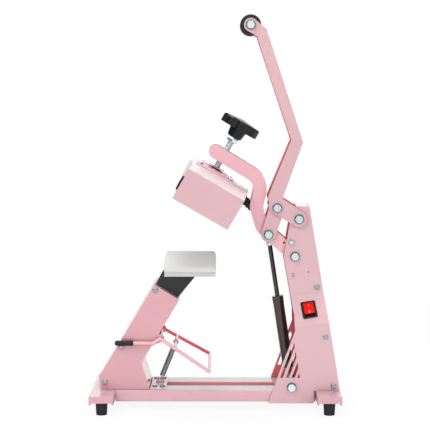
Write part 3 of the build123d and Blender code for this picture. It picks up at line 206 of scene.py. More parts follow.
class Board:
    """The node tree of one material or world."""

    def __init__(self, name, kind="materials"):
        self.block = getattr(bpy.data, kind).new(name)
        self.block.use_nodes = True
        self.tree = self.block.node_tree
        self.tree.nodes.clear()

    def node(self, kind, settings=None, inputs=None, output=0):
        """Adds a node, sets its settings first and then its sockets, and gives one of its outputs."""
        made = self.tree.nodes.new(kind)
        for name, value in (settings or {}).items():
            setattr(made, name, value)
        for key, value in (inputs or {}).items():
            if isinstance(value, Wire):
                self.tree.links.new(value.socket, made.inputs[key])
            else:
                made.inputs[key].default_value = value
        return Wire(self, made.outputs[output]) if made.outputs else None

    def coordinates(self, stretch=(1.0, 1.0, 1.0)):
        point = self.node("ShaderNodeTexCoord", output="Object")
        return self.node("ShaderNodeMapping", {"vector_type": "TEXTURE"}, {"Vector": point, "Scale": stretch})

    def noise(self, point, scale, detail=3.0, roughness=0.5):
        return self.node("ShaderNodeTexNoise", None,
                         {"Vector": point, "Scale": scale, "Detail": detail, "Roughness": roughness}, "Fac")

    def shade(self, colour, factor, amount):
        """The colour made lighter and darker by a factor about 0.5."""
        low = tuple(max(0.0, c * (1.0 - amount)) for c in colour[:3]) + (1.0,)
        high = tuple(min(1.0, c * (1.0 + amount)) for c in colour[:3]) + (1.0,)
        return self.mix(factor, low, high)

    def mix(self, factor, first, second):
        return self.node("ShaderNodeMix", {"data_type": "RGBA"}, {0: factor, 6: first, 7: second}, 2)

    def bump(self, height, distance, strength=1.0, normal=None):
        inputs = {"Height": height, "Distance": distance, "Strength": strength}
        if normal is not None:
            inputs["Normal"] = normal
        return self.node("ShaderNodeBump", None, inputs)

    def soft_edges(self, radius):
        return self.node("ShaderNodeBevel", {"samples": 4}, {"Radius": radius})

    def edge_mask(self, radius, gain=3.0):
        """Near 1 along sharp edges and 0 on flat faces."""
        rounded = self.soft_edges(radius)
        plain = self.node("ShaderNodeNewGeometry", output="True Normal")
        same = self.node("ShaderNodeVectorMath", {"operation": "DOT_PRODUCT"},
                         {0: rounded, 1: plain}, "Value")
        return ((1.0 - same) * gain).clipped()

    def hollow_mask(self, reach, level=0.62, gain=2.2):
        """Near 1 in slots, corners and narrow gaps, and 0 on open faces."""
        open_share = self.node("ShaderNodeAmbientOcclusion", {"samples": 6}, {"Distance": reach}, "AO")
        return ((level - open_share) * gain).clipped()

    def along(self, vector, axis):
        return self.node("ShaderNodeSeparateXYZ", None, {0: vector}, axis)

    def facing(self, axis):
        """How far the surface faces along one axis of the press."""
        return self.along(self.node("ShaderNodeNewGeometry", output="True Normal"), axis)

    def inner_side(self, point):
        """1 on faces that look at the middle plane of the press, and 0 on all others."""
        return (self.along(point, "Y") * self.facing("Y") * -140.0).clipped()

    def finish(self, **inputs):
        """Ends in a Principled surface with these sockets, whose names use _ for spaces."""
        named = {key.replace("_", " "): value for key, value in inputs.items()}
        return self.end(self.node("ShaderNodeBsdfPrincipled", None, named, "BSDF"))

    def end(self, surface, kind="ShaderNodeOutputMaterial"):
        self.node(kind, None, {"Surface": surface})
        return self.block


def rgba(colour):
    return (colour[0], colour[1], colour[2], 1.0)


# ------------------------------------------------------------------ finishes
WHITE = (1.0, 1.0, 1.0, 1.0)
# Painted shade on inner sides between the plates.
INNER_SHADE_RED = (1.0, 0.14, 0.165, 1.0)
# Painted shade in slots, corners and gaps.
HOLLOW_SHADE_RED = (0.42, 0.045, 0.06, 1.0)
# Paler edges: a thinner coat and a painted highlight.
THIN_EDGE_AND_HIGHLIGHT = (0.93, 0.74, 0.77, 1.0)
# Painted sheen on faces that look up.
PALE_SHEEN = (0.89, 0.85, 0.84, 1.0)
# Shares of the lighter copy of the coat: painted light.
ROSY_SHARES = (1.20, 1.07, 1.12)
FULL_DEPTH = 0.90


def coat(name, paint, depth=0.80, deep_below=None, deep=INNER_SHADE_RED, sheen_from=0.70, dust_share=0.35,
         dust=PALE_SHEEN, shade_share=0.85):
    """Glossy powder coat: orange peel, paler edges from a thinner coat and a painted highlight, a painted
    sheen on top, and painted deep red shade between the plates.

    depth is the share of the painted deep shade on inner sides, which is full below the height deep_below,
    and sheen_from is how far up a face must look to get the painted sheen."""
    board = Board(name)
    point = board.coordinates()
    cloud = board.noise(point, 9.0, 2.0)
    peel = board.noise(point, 620.0, 2.0, 0.4)
    wave = board.noise(point, 140.0, 1.0)
    colour = board.shade(paint, cloud, 0.03)
    # Paler edges: partly a thinner coat, partly a painted highlight.
    edge = board.edge_mask(0.0007, 2.2)
    colour = board.mix(edge * 0.30, colour, THIN_EDGE_AND_HIGHLIGHT)
    # Painted sheen: faces that look up are painted paler, a painted reflection of the white surroundings.
    upward = ((board.facing("Z") - sheen_from) * 8.0).clipped()
    colour = board.mix(upward * (dust_share + cloud * 0.3), colour, dust)
    # Painted shade: faces that look at the middle plane are painted deep red, in full below deep_below.
    inside = board.inner_side(point)
    if deep_below is not None:
        low = ((deep_below - board.along(point, "Z")) * 250.0).clipped()
        depth = depth + low * (FULL_DEPTH - depth)
    colour = board.mix(inside * depth, colour, deep)
    # Painted shade: slots, corners and narrow gaps are darkened towards a deep red.
    hollow = board.hollow_mask(0.030)
    colour = board.mix(hollow * shade_share, colour, HOLLOW_SHADE_RED)
    normal = board.bump(peel * 0.6 + wave * 0.4, 0.00005, 0.45, board.soft_edges(0.0006))
    return board.finish(Base_Color=colour, Roughness=0.30 + cloud * 0.10, Normal=normal,
                        Coat_Weight=(1.0 - hollow * 0.8) * (1.0 - inside * 0.7), Coat_Roughness=0.09,
                        Coat_IOR=1.6)


def shaded_copy(name, shares, **looks):
    """The press's coat copied with its red, green and blue off by these shares, to paint light and shade on
    some parts.
    """
    paint = tuple(min(1.0, part * share) for part, share in zip(colours().coat, shares))
    return coat(name, paint, **looks)


def powder_coat():
    """The press's own coat, on the column and the links."""
    return coat("powder_coat", colours().coat)


def rosy_coat():
    """A lighter copy of the coat on the arm and the head's bracket: painted light, with less painted shade on
    inner sides.
    """
    return shaded_copy("rosy_coat", ROSY_SHARES, depth=0.40, deep=(0.50, 0.08, 0.10, 1.0))


def deep_coat():
    """A deeper copy of the coat on the cross-members and the pedestal: painted shade, with a grey painted
    sheen on top.
    """
    return shaded_copy("deep_coat", (1.00, 0.81, 0.86), dust_share=0.45, dust=(0.56, 0.55, 0.54, 1.0))


def rail_coat():
    """Rails: a lighter copy, with a grey painted sheen and less painted deep shade where they face each other
    in the open.
    """
    return shaded_copy("rail_coat", (1.09, 1.00, 1.05), depth=0.36, dust_share=0.65, dust=(0.48, 0.51, 0.50, 1.0))


def bail_coat():
    """The tensioner's lighter copy: painted deep shade on the far wire, and no painted sheen on the round
    wire.
    """
    return shaded_copy("bail_coat", ROSY_SHARES, depth=0.95, dust_share=-0.3)


def plain_coat():
    """The press's own coat on the head's sheets and the spring's anchor, with no painted deep shade on inner
    sides.
    """
    return coat("plain_coat", colours().coat, depth=0.0, sheen_from=0.40, dust_share=0.60, shade_share=0.25)


def lever_coat():
    """The lever plates' copy of the coat, with painted shade on their inner sides, deeper below the bend."""
    return shaded_copy("lever_coat", (1.0, 0.98, 0.98), depth=0.36, deep_below=0.477,
                 deep=(0.66, 0.13, 0.155, 1.0))


def bright_zinc():
    """Zinc plate: cool bright bolt heads, with painted shade along their edges and on the washers round them.
    """
    board = Board("bright_zinc")
    point = board.coordinates()
    cloud = board.noise(point, 260.0, 3.0)
    fine = board.noise(point, 2200.0, 2.0)
    colour = board.mix(cloud, rgba(colours().zinc), (0.90, 1.0, 1.0, 1.0))
    # Painted shade: edges and the washers round the heads are darkened almost to black.
    edge = board.edge_mask(0.0011, 6.0)
    ring = board.hollow_mask(0.006, 0.94, 3.0)
    colour = board.mix((edge + ring).clipped() * 0.97, colour, (0.03, 0.05, 0.06, 1.0))
    normal = board.bump(fine, 0.00002, 0.5, board.soft_edges(0.0004))
    return board.finish(Base_Color=colour, Metallic=1.0, Roughness=0.16 + cloud * 0.16, Normal=normal)


def thread_zinc():
    """Zinc of the turned thread, without the painted shade on edges, so that its turns stay pale."""
    board = Board("thread_zinc")
    point = board.coordinates()
    cloud = board.noise(point, 260.0, 3.0)
    colour = board.mix(cloud, (0.66, 0.70, 0.70, 1.0), (0.84, 0.85, 0.84, 1.0))
    normal = board.bump(cloud, 0.00002, 0.5)
    return board.finish(Base_Color=colour, Metallic=1.0, Roughness=0.34 + cloud * 0.10, Normal=normal)


def dark_zinc():
    """Dark chromated zinc of the small screws, with painted shade on edges and rims and a painted highlight
    on top.
    """
    board = Board("dark_zinc")
    point = board.coordinates()
    cloud = board.noise(point, 300.0, 3.0)
    colour = board.mix(cloud, (0.26, 0.33, 0.36, 1.0), (0.50, 0.56, 0.58, 1.0))
    # Painted shade: edges and rims are darkened, less so on faces that look up.
    edge = board.edge_mask(0.0009, 4.0)
    rim = board.hollow_mask(0.003, 0.85, 3.0)
    upward = ((board.facing("Z") - 0.9) * 10.0).clipped()
    colour = board.mix((edge + rim).clipped() * (1.0 - upward * 0.6), colour, (0.02, 0.05, 0.06, 1.0))
    # Painted highlight: faces that look up are made pale.
    colour = board.mix(upward * 0.6, colour, (0.80, 0.80, 0.79, 1.0))
    normal = board.bump(cloud, 0.00002, 0.4, board.soft_edges(0.0004))
    return board.finish(Base_Color=colour, Metallic=1.0, Roughness=0.16 + cloud * 0.14, Normal=normal)


def spring_wire():
    """Dark oiled spring wire."""
    board = Board("spring_wire")
    point = board.coordinates()
    cloud = board.noise(point, 400.0, 3.0)
    colour = board.mix(cloud, (0.30, 0.36, 0.40, 1.0), (0.52, 0.58, 0.62, 1.0))
    normal = board.bump(cloud, 0.00002, 0.4)
    return board.finish(Base_Color=colour, Metallic=1.0, Roughness=0.22 + cloud * 0.16, Normal=normal)


def skin(name, paint, cloud, tone, rough, grain=None, bump=None, edges=None, stretch=(1.0, 1.0, 1.0),
         **looks):
    """A finish whose colour and roughness drift with one noise, over the bump of the same or a finer one.

    cloud and grain are each a noise's scale, detail and roughness, tone is how far the colour drifts, rough
    is the least roughness and its span, bump is a distance and a strength, and edges is a radius."""
    board = Board(name)
    point = board.coordinates(stretch)
    drift = board.noise(point, *cloud)
    if bump:
        relief = board.noise(point, *grain) if grain else drift
        looks["Normal"] = board.bump(relief, *bump, board.soft_edges(edges) if edges else None)
    return board.finish(Base_Color=board.shade(paint, drift, tone), Roughness=rough[0] + drift * rough[1],
                        **looks)


def turned_steel():
    """Plain turned steel with fine rings."""
    return skin("turned_steel", (0.50, 0.50, 0.51), (1400.0, 3.0), 0.12, (0.28, 0.16),
                bump=(0.00002, 0.4), edges=0.0004, Metallic=1.0)


def moulded_plastic():
    """Black moulded plastic with a fine grain."""
    return skin("moulded_plastic", colours().plastic, (30.0, 2.0), 0.25, (0.36, 0.12),
                grain=(1500.0, 3.0, 0.6), bump=(0.00006, 0.6), edges=0.0006, IOR=1.33)


def moulded_rubber():
    """Dull black rubber."""
    return skin("moulded_rubber", colours().rubber, (60.0, 2.0), 0.3, (0.62, 0.15),
                grain=(900.0, 3.0, 0.6), bump=(0.00008, 0.7), edges=0.0006)


def black_enamel():
    """Gloss brown-black enamel of the gas spring's tube."""
    return skin("black_enamel", (0.014, 0.009, 0.009), (80.0, 2.0), 0.3, (0.34, 0.08),
                bump=(0.00003, 0.4), edges=0.0005, Coat_Weight=1.0, Coat_Roughness=0.04, Coat_IOR=1.45)


def nitrided_rod():
    """Polished black nitride of the gas spring's rod."""
    return skin("nitrided_rod", (0.075, 0.072, 0.074), (1200.0, 2.0), 0.15, (0.09, 0.05), Metallic=1.0)


def oxide_screw():
    """Black oxide of the set screws, with a film of oil."""
    return skin("oxide_screw", (0.010, 0.010, 0.011), (1600.0, 2.0), 0.3, (0.40, 0.12), IOR=1.3)


def housing_plastic():
    """Pale grey moulded plastic of the controller's housing."""
    return skin("housing_plastic", (0.80, 0.84, 0.82), (40.0, 2.0), 0.04, (0.40, 0.10),
                grain=(1300.0, 3.0, 0.6), bump=(0.00005, 0.5), edges=0.0008)


def gloss_plastic():
    """Glossy black plastic of the knob, with a faint moulding wave."""
    board = Board("gloss_plastic")
    point = board.coordinates()
    wave = board.noise(point, 60.0, 2.0)
    grain = board.noise(point, 1400.0, 2.0)
    colour = board.shade(colours().plastic, wave, 0.25)
    normal = board.bump(wave * 0.7 + grain * 0.3, 0.00008, 0.5, board.soft_edges(0.0008))
    return board.finish(Base_Color=colour, Roughness=0.24 + wave * 0.08, Normal=normal, IOR=1.36)


def red_lens():
    """Bright red plastic of the rocker."""
    return skin("red_lens", colours().rocker, (200.0, 2.0), 0.06, (0.34, 0.08),
                bump=(0.00002, 0.3), edges=0.0005, IOR=1.18)


def pale_print():
    """Pale ink of the marks on the switch."""
    return skin("pale_print", (0.90, 0.42, 0.38), (900.0, 2.0), 0.05, (0.5, 0.1))


def cast_aluminium():
    """Machined aluminium of the heater and the saddle, brushed along the press."""
    return skin("cast_aluminium", (0.66, 0.66, 0.67), (700.0, 3.0, 0.6), 0.10, (0.30, 0.16),
                bump=(0.00003, 0.4), edges=0.0006, stretch=(14.0, 1.0, 1.0), Metallic=1.0)


def silicone_skin():
    """Soft pale silicone sponge under a smooth skin."""
    return skin("silicone_skin", colours().silicone, (22.0, 2.0), 0.05, (0.52, 0.12),
                grain=(900.0, 3.0, 0.6), bump=(0.00008, 0.5))


def fibre_blanket():
    """Matted ceramic fibre."""
    return skin("fibre_blanket", (0.82, 0.80, 0.74), (900.0, 5.0, 0.7), 0.12, (0.85, 0.1),
                bump=(0.0004, 0.7), stretch=(5.0, 1.0, 1.0))


def black_coat():
    """Black powder coat of the bracket under the lower platen."""
    return skin("black_coat", (0.022, 0.022, 0.024), (12.0, 2.0), 0.2, (0.38, 0.1),
                grain=(700.0, 2.0, 0.4), bump=(0.00006, 0.5), edges=0.0006)


def smoked_window():
    """Smoked acrylic of the display."""
    return skin("smoked_window", (0.012, 0.012, 0.016), (60.0, 1.0), 0.2, (0.06, 0.03),
                Coat_Weight=0.6, Coat_Roughness=0.03)


def unlit_segment():
    """A display segment that is switched off."""
    return skin("unlit_segment", (0.16, 0.05, 0.045), (400.0, 1.0), 0.1, (0.3, 0.1))


def button_cap():
    """Pale grey button plastic."""
    return skin("button_cap", (0.60, 0.60, 0.61), (1500.0, 2.0), 0.06, (0.42, 0.08),
                bump=(0.00004, 0.4), edges=0.0004)


FINISHES = {make.__name__: make for make in (
    powder_coat, rosy_coat, deep_coat, rail_coat, bail_coat, plain_coat, lever_coat, bright_zinc, thread_zinc,
    dark_zinc, spring_wire, turned_steel, moulded_plastic, moulded_rubber, black_enamel, nitrided_rod,
    oxide_screw, housing_plastic, gloss_plastic, red_lens, pale_print, cast_aluminium, silicone_skin,
    fibre_blanket, black_coat, smoked_window, unlit_segment, button_cap)}


def finish_named(name):
    return bpy.data.materials.get(name) or FINISHES[name]()


def dress(obj, name):
    obj.data.materials.clear()
    obj.data.materials.append(finish_named(name))


# ------------------------------------------------------------------ modelling helpers
def flat_circle(bm, radius, steps, matrix):
    """A ring of edges with no face."""
    return bmesh.ops.create_circle(bm, cap_ends=False, radius=radius, segments=steps, matrix=matrix)["verts"]


def edges_of(verts):
    """The edges whose two ends are among these vertices."""
    chosen = set(verts)
    return list({e for v in chosen for e in v.link_edges if all(w in chosen for w in e.verts)})


def settle(bm, name, body, finish, replaces=(), smooth_angle=35.0):
    """Turns a bmesh into a piece that rides on a body, if one is named, with its place in its mesh."""
    bmesh.ops.remove_doubles(bm, verts=bm.verts, dist=WELD)
    bmesh.ops.recalc_face_normals(bm, faces=bm.faces)
    mesh = bpy.data.meshes.new(name)
    bm.to_mesh(mesh)
    bm.free()
    piece = bpy.data.objects.new(name, mesh)
    bpy.context.scene.collection.objects.link(piece)
    mesh.shade_smooth()
    mesh.set_sharp_from_angle(angle=math.radians(smooth_angle))
    dress(piece, finish)
    if body:
        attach(piece, body)
    if replaces:
        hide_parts(*replaces)
    return piece


def helix(bm, verts, pitch, turns, steps):
    """Sweeps edges round Z while they climb."""
    geom = list(set(verts)) + edges_of(verts)
    bmesh.ops.spin(bm, geom=geom, cent=NOWHERE, axis=Z_AXIS, dvec=Z_AXIS * (pitch / steps),
                   angle=FULL_TURN * turns, steps=int(round(steps * turns)), use_merge=False)


def hoop(bm, wire, sides, start, centre, axis, steps):
    """A closed ring of wire: a circle at the matrix start, spun round an axis through centre."""
    ring = flat_circle(bm, wire, sides, start)
    bmesh.ops.spin(bm, geom=ring + edges_of(ring), cent=centre, axis=axis, dvec=NOWHERE, angle=FULL_TURN,
                   steps=steps, use_merge=True)


def rod(bm, radius, low, high, steps=48):
    """A closed cylinder along Z from low to high."""
    middle = Matrix.Translation((0.0, 0.0, (low + high) / 2.0))
    return bmesh.ops.create_cone(bm, cap_ends=True, cap_tris=False, segments=steps, radius1=radius,
                                 radius2=radius, depth=high - low, matrix=middle)["verts"]


def ease(bm, edges, offset, segments):
    bmesh.ops.bevel(bm, geom=edges, offset=offset, segments=segments, profile=0.5, affect="EDGES",
                    material=-1)


def hex_nut(bm, radius, height, middle, rim=0.0007):
    """A hexagon round Z with eased rims."""
    nut = rod(bm, radius, middle - height / 2.0, middle + height / 2.0, 6)
    ease(bm, [e for e in edges_of(nut) if abs(e.verts[0].co.z - e.verts[1].co.z) < HAIR], rim, 3)


def soft_copy(node, grain, rounds):
    """A solid's own shape as an even mesh with eased edges."""
    mesh = NODES[node].data.copy()
    bm = bmesh.new()
    bm.from_mesh(mesh)
    bmesh.ops.remove_doubles(bm, verts=bm.verts, dist=WELD)
    bm.to_mesh(mesh)
    bm.free()
    work = bpy.data.objects.new(node + "_even", mesh)
    bpy.context.scene.collection.objects.link(work)
    even = work.modifiers.new("even", "REMESH")
    even.mode = "VOXEL"
    even.voxel_size = grain
    made = bpy.data.meshes.new_from_object(work.evaluated_get(bpy.context.evaluated_depsgraph_get()))
    bpy.data.objects.remove(work)
    bm = bmesh.new()
    bm.from_mesh(made)
    for _ in range(rounds):
        bmesh.ops.smooth_vert(bm, verts=bm.verts, factor=0.5, use_axis_x=True, use_axis_y=True,
                              use_axis_z=True)
    bm.normal_update()
    return bm


# ------------------------------------------------------------------ operators, one for each group
class PRESS_OT_painted_steel(Operator):
    """Gives every sheet and tube of the press its powder coat"""
    bl_idname = "press.painted_steel"
    bl_label = "Painted steel"

    def execute(self, context):
        for name in ("near_column_plate", "far_column_plate", "column_cover", "near_link", "far_link"):
            dress(NODES[name], "powder_coat")
        for name in ("near_rail", "far_rail"):
            dress(NODES[name], "rail_coat")
        for name in ("head_cover", "head_front_panel", "head_rear_panel", "spring_anchor"):
            dress(NODES[name], "plain_coat")
        for name in ("near_lever_plate", "far_lever_plate"):
            dress(NODES[name], "lever_coat")
        for name in ("near_arm_plate", "far_arm_plate", "head_bracket"):
            dress(NODES[name], "rosy_coat")
        dress(NODES["tensioner_bail"], "bail_coat")
        for name in ("front_cross_member", "rear_cross_member", "near_pedestal_plate", "far_pedestal_plate",
                     "pedestal_front", "pedestal_rear", "pedestal_top"):
            dress(NODES[name], "deep_coat")
        return {"FINISHED"}


class PRESS_OT_hardware(Operator):
    """Gives bolts, washers, sleeves and screws their zinc and the block its steel"""
    bl_idname = "press.hardware"
    bl_label = "Hardware"

    def execute(self, context):
        for name in ("column_spacers", "column_bolts", "stop_bolt", "platen_bolts", "foot_screws",
                     "arm_spacers", "link_bolt", "lever_bolts", "heater_studs"):
            dress(NODES[name], "bright_zinc")
        dress(NODES["panel_screws"], "dark_zinc")
        dress(NODES["screw_block"], "turned_steel")
        return {"FINISHED"}


class PRESS_OT_gas_spring(Operator):
    """Finishes the gas spring's tube, rod and eyes, and adds the lock nut under the upper eye"""
    bl_idname = "press.gas_spring"
    bl_label = "Gas spring"

    def execute(self, context):
        dress(NODES["gas_tube"], "black_enamel")
        dress(NODES["gas_rod"], "nitrided_rod")
        dress(NODES["gas_tube_eye"], "turned_steel")
        dress(NODES["gas_rod_eye"], "bright_zinc")
        nut_radius, nut_height, eye_reach = 0.0064, 0.0055, 0.0165
        bm = bmesh.new()
        hex_nut(bm, nut_radius, nut_height, -eye_reach - nut_height / 2.0)
        bmesh.ops.transform(bm, matrix=place(GAS_TOP, Y_AXIS, GAS_TOP - GAS_FOOT), verts=bm.verts)
        settle(bm, "rod_lock_nut", "gas_rod", "bright_zinc", smooth_angle=25.0)
        return {"FINISHED"}


class PRESS_OT_set_screws(Operator):
    """Turns a black socket set screw into the small hole of each arm plate"""
    bl_idname = "press.set_screws"
    bl_label = "Set screws"

    def execute(self, context):
        radius, seat, face_height = 0.00175, 0.0183, 0.0226
        rim, socket_depth = 0.0004, 0.0016
        for name, side in (("near_set_screw", -1.0), ("far_set_screw", 1.0)):
            bm = bmesh.new()
            rod(bm, radius, seat, face_height, 32)
            for _ in range(2):
                socket = [face for face in bm.faces if len(face.verts) > 4
                          and face.calc_center_median().z > face_height - HAIR]
                bmesh.ops.inset_region(bm, faces=socket, thickness=rim, use_even_offset=True)
            pushed = bmesh.ops.extrude_discrete_faces(bm, faces=socket)["faces"]
            deep = list({vert for face in pushed for vert in face.verts})
            bmesh.ops.translate(bm, verts=deep, vec=(0.0, 0.0, -socket_depth))
            bmesh.ops.transform(bm, matrix=place(ARM_HOLE, X_AXIS, Y_AXIS * side), verts=bm.verts)
            settle(bm, name, "arm", "oxide_screw", smooth_angle=30.0)
        return {"FINISHED"}


class PRESS_OT_rubber_and_plastic(Operator):
    """Finishes the knob, grips, feet, bezels and strain relief"""
    bl_idname = "press.rubber_and_plastic"
    bl_label = "Rubber and plastic"

    def execute(self, context):
        dress(NODES["star_knob"], "gloss_plastic")
        for name in ("switch_housing", "cord_gland", "control_panel"):
            dress(NODES[name], "moulded_plastic")
        for name in ("lever_grip", "front_feet", "rear_feet", "cable_boot", "tensioner_grip"):
            dress(NODES[name], "moulded_rubber")
        return {"FINISHED"}


class PRESS_OT_platens(Operator):
    """Finishes the heater, the saddle and the bracket"""
    bl_idname = "press.platens"
    bl_label = "Platens"

    def execute(self, context):
        for name in ("heating_platen", "platen_saddle"):
            dress(NODES[name], "cast_aluminium")
        dress(NODES["platen_bracket"], "black_coat")
        return {"FINISHED"}


class PRESS_OT_silicone_pad(Operator):
    """Makes the soft silicone pad of the lower platen, whose sides pull in between its corners"""
    bl_idname = "press.silicone_pad"
    bl_label = "Silicone pad"

    def execute(self, context):
        low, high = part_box("platen_pad")
        middle = (Vector(low) + Vector(high)) / 2.0
        half = (Vector(high) - Vector(low)) / 2.0
        bm = soft_copy("platen_pad", sizes().pad_grain, 6)
        hollow, edge_power = sizes().pad_hollow, 7
        for vert in bm.verts:
            along = (vert.co.x - middle.x) / half.x
            across = (vert.co.y - middle.y) / half.y
            vert.co.x -= hollow * along * abs(along) ** edge_power * (1.0 - across * across)
            vert.co.y -= hollow * across * abs(across) ** edge_power * (1.0 - along * along)
        piece = settle(bm, "soft_pad", "frame", "silicone_skin", replaces=("platen_pad",),
                       smooth_angle=80.0)
        return {"FINISHED"}


class PRESS_OT_fibre_block(Operator):
    """Makes the matted ceramic fibre over the heater"""
    bl_idname = "press.fibre_block"
    bl_label = "Fibre block"

    def execute(self, context):
        bm = soft_copy("insulation", sizes().pad_grain, 2)
        sink, unevenness, waves = 0.0004, 0.0003, (410.0, 370.0, 330.0)
        for vert in bm.verts:
            swell = math.prod(math.sin(at * wave) for at, wave in zip(vert.co, waves))
            vert.co -= vert.normal * (sink + unevenness * swell)
        piece = settle(bm, "fibre_wool", "head", "fibre_blanket", replaces=("insulation",),
                       smooth_angle=80.0)
        return {"FINISHED"}


class PRESS_OT_pressure_screw(Operator):
    """Cuts a helical thread on the pressure screw and adds its collar and jam nut"""
    bl_idname = "press.pressure_screw"
    bl_label = "Pressure screw"

    def execute(self, context):
        on_head = place(SCREW_FOOT, HEAD_ALONG, HEAD_UP)
        foot, end = 0.0772, 0.1620
        self.thread(on_head, foot, end)

        collar_radius, collar_height, collar_ease = 0.0090, 0.0015, 0.0004
        bm = bmesh.new()
        rod(bm, collar_radius, foot - collar_height, foot)
        ease(bm, [e for e in bm.edges if e.calc_face_angle(0.0) > SHARP_ANGLE], collar_ease, 2)
        bmesh.ops.transform(bm, matrix=on_head, verts=bm.verts)
        settle(bm, "screw_collar", "knob", "bright_zinc")

        nut_radius, nut_height, nut_level = 0.01097, 0.0090, 0.1345
        bm = bmesh.new()
        hex_nut(bm, nut_radius, nut_height, nut_level)
        bmesh.ops.transform(bm, matrix=on_head, verts=bm.verts)
        piece = settle(bm, "jam_nut", "knob", "bright_zinc", smooth_angle=25.0)
        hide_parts("pressure_screw")
        return {"FINISHED"}

    def thread(self, on_head, low, high):
        """A thread with flat crests, swept round a core that it just sinks into."""
        pitch, outer = sizes().thread_pitch, 0.0055
        inner = outer - sizes().thread_depth
        crest_start, crest_end = 0.42, 0.58
        bm = bmesh.new()
        corners = [bm.verts.new((inner, 0.0, low)), bm.verts.new((outer, 0.0, low + pitch * crest_start)),
                   bm.verts.new((outer, 0.0, low + pitch * crest_end)),
                   bm.verts.new((inner, 0.0, low + pitch))]
        for first, second in zip(corners, corners[1:]):
            bm.edges.new((first, second))
        helix(bm, corners, pitch, (high - low) / pitch - 1.0, 28)
        rod(bm, inner + HAIR, low - 2.0 * HAIR, high)
        bmesh.ops.transform(bm, matrix=on_head, verts=bm.verts)
        settle(bm, "screw_thread", "knob", "thread_zinc", smooth_angle=30.0)


class PRESS_OT_tension_spring(Operator):
    """Winds the tensioner's extension spring with a loop at each end"""
    bl_idname = "press.tension_spring"
    bl_label = "Tension spring"

    def execute(self, context):
        wire = sizes().spring_wire
        mean = sizes().spring_radius - wire
        length = (SPRING_BAR - SPRING_EYE).length
        bar_radius, bar_play, eye_loop = 0.003, 0.0003, 0.0034
        bar_loop = bar_radius + wire + bar_play
        gap, stem, spacing = 0.0012, 0.0070, 2.35
        low = 2.0 * eye_loop + gap
        high = length - bar_loop - stem
        pitch = wire * spacing
        bm = bmesh.new()
        start = Matrix.Translation((mean, 0.0, low)) @ Matrix.Rotation(QUARTER_TURN, 4, "X")
        helix(bm, flat_circle(bm, wire, 8, start), pitch, int((high - low) / pitch), 26)
        # The upper loop goes round the cross bar and hangs on a stem.
        hoop(bm, wire, 10, Matrix.Translation((0.0, bar_loop, length)), Z_AXIS * length, X_AXIS, 32)
        rod(bm, wire, high - gap, length - bar_loop, 10)
        self.crossing(bm, wire, mean, high)
        # The lower loop goes through the eye of the anchor, square to its ear.
        hoop(bm, wire, 10, Matrix.Translation((eye_loop, 0.0, eye_loop)), Z_AXIS * eye_loop, Y_AXIS, 28)
        self.crossing(bm, wire, mean, low)
        axis = (SPRING_BAR - SPRING_EYE).normalized()
        bmesh.ops.transform(bm, matrix=place(SPRING_EYE, Y_AXIS, axis), verts=bm.verts)
        piece = settle(bm, "spring_coils", None, "spring_wire", replaces=("tension_spring",),
                       smooth_angle=80.0)
        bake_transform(piece)
        return {"FINISHED"}

    def crossing(self, bm, wire, mean, level):
        """The end of the wire, which crosses the coil to its middle."""
        turn = Matrix.Translation((mean / 2.0, 0.0, level)) @ Matrix.Rotation(QUARTER_TURN, 4, "Y")
        bmesh.ops.create_cone(bm, cap_ends=True, segments=10, radius1=wire, radius2=wire, depth=mean,
                              matrix=turn)


class PRESS_OT_switch(Operator):
    """Finishes the rocker switch and prints its on and off marks"""
    bl_idname = "press.switch"
    bl_label = "Rocker switch"

    def execute(self, context):
        dress(NODES["switch_rocker"], "red_lens")
        stroke = Matrix.Diagonal((0.0008, 0.0036, 0.0003, 1.0))
        bm = bmesh.new()
        bmesh.ops.create_cube(bm, size=1.0, matrix=stroke)
        ease(bm, list(bm.edges), 0.00008, 1)
        bmesh.ops.transform(bm, matrix=self.on_rocker(1.0), verts=bm.verts)
        settle(bm, "switch_on_mark", "rocker", "pale_print")

        ring_radius, line = 0.0015, 0.00036
        bm = bmesh.new()
        start = Matrix.Translation((ring_radius, 0.0, 0.0)) @ Matrix.Rotation(QUARTER_TURN, 4, "X")
        hoop(bm, line, 8, start, NOWHERE, Z_AXIS, 32)
        oval = Matrix.Diagonal((1.0, 1.25, 0.45, 1.0))
        bmesh.ops.transform(bm, matrix=self.on_rocker(-1.0) @ oval, verts=bm.verts)
        settle(bm, "switch_off_mark", "rocker", "pale_print", smooth_angle=80.0)
        return {"FINISHED"}

    def on_rocker(self, side):
        """A matrix on the rocker's upper (1) or lower (-1) slope, with the rocker tipped to off."""
        lean, valley = math.radians(7.0), 0.0042
        half_length, margin = 0.01175, 0.0012
        reach = (half_length - margin) * 0.55
        rise = valley + reach * math.tan(lean)
        tipped = place(SWITCH_MIDDLE, SWITCH_ACROSS, SWITCH_OUT) @ Matrix.Rotation(-lean, 4, "X")
        return tipped @ Matrix.Translation((0.0, side * reach, rise)) @ Matrix.Rotation(side * lean, 4, "X")


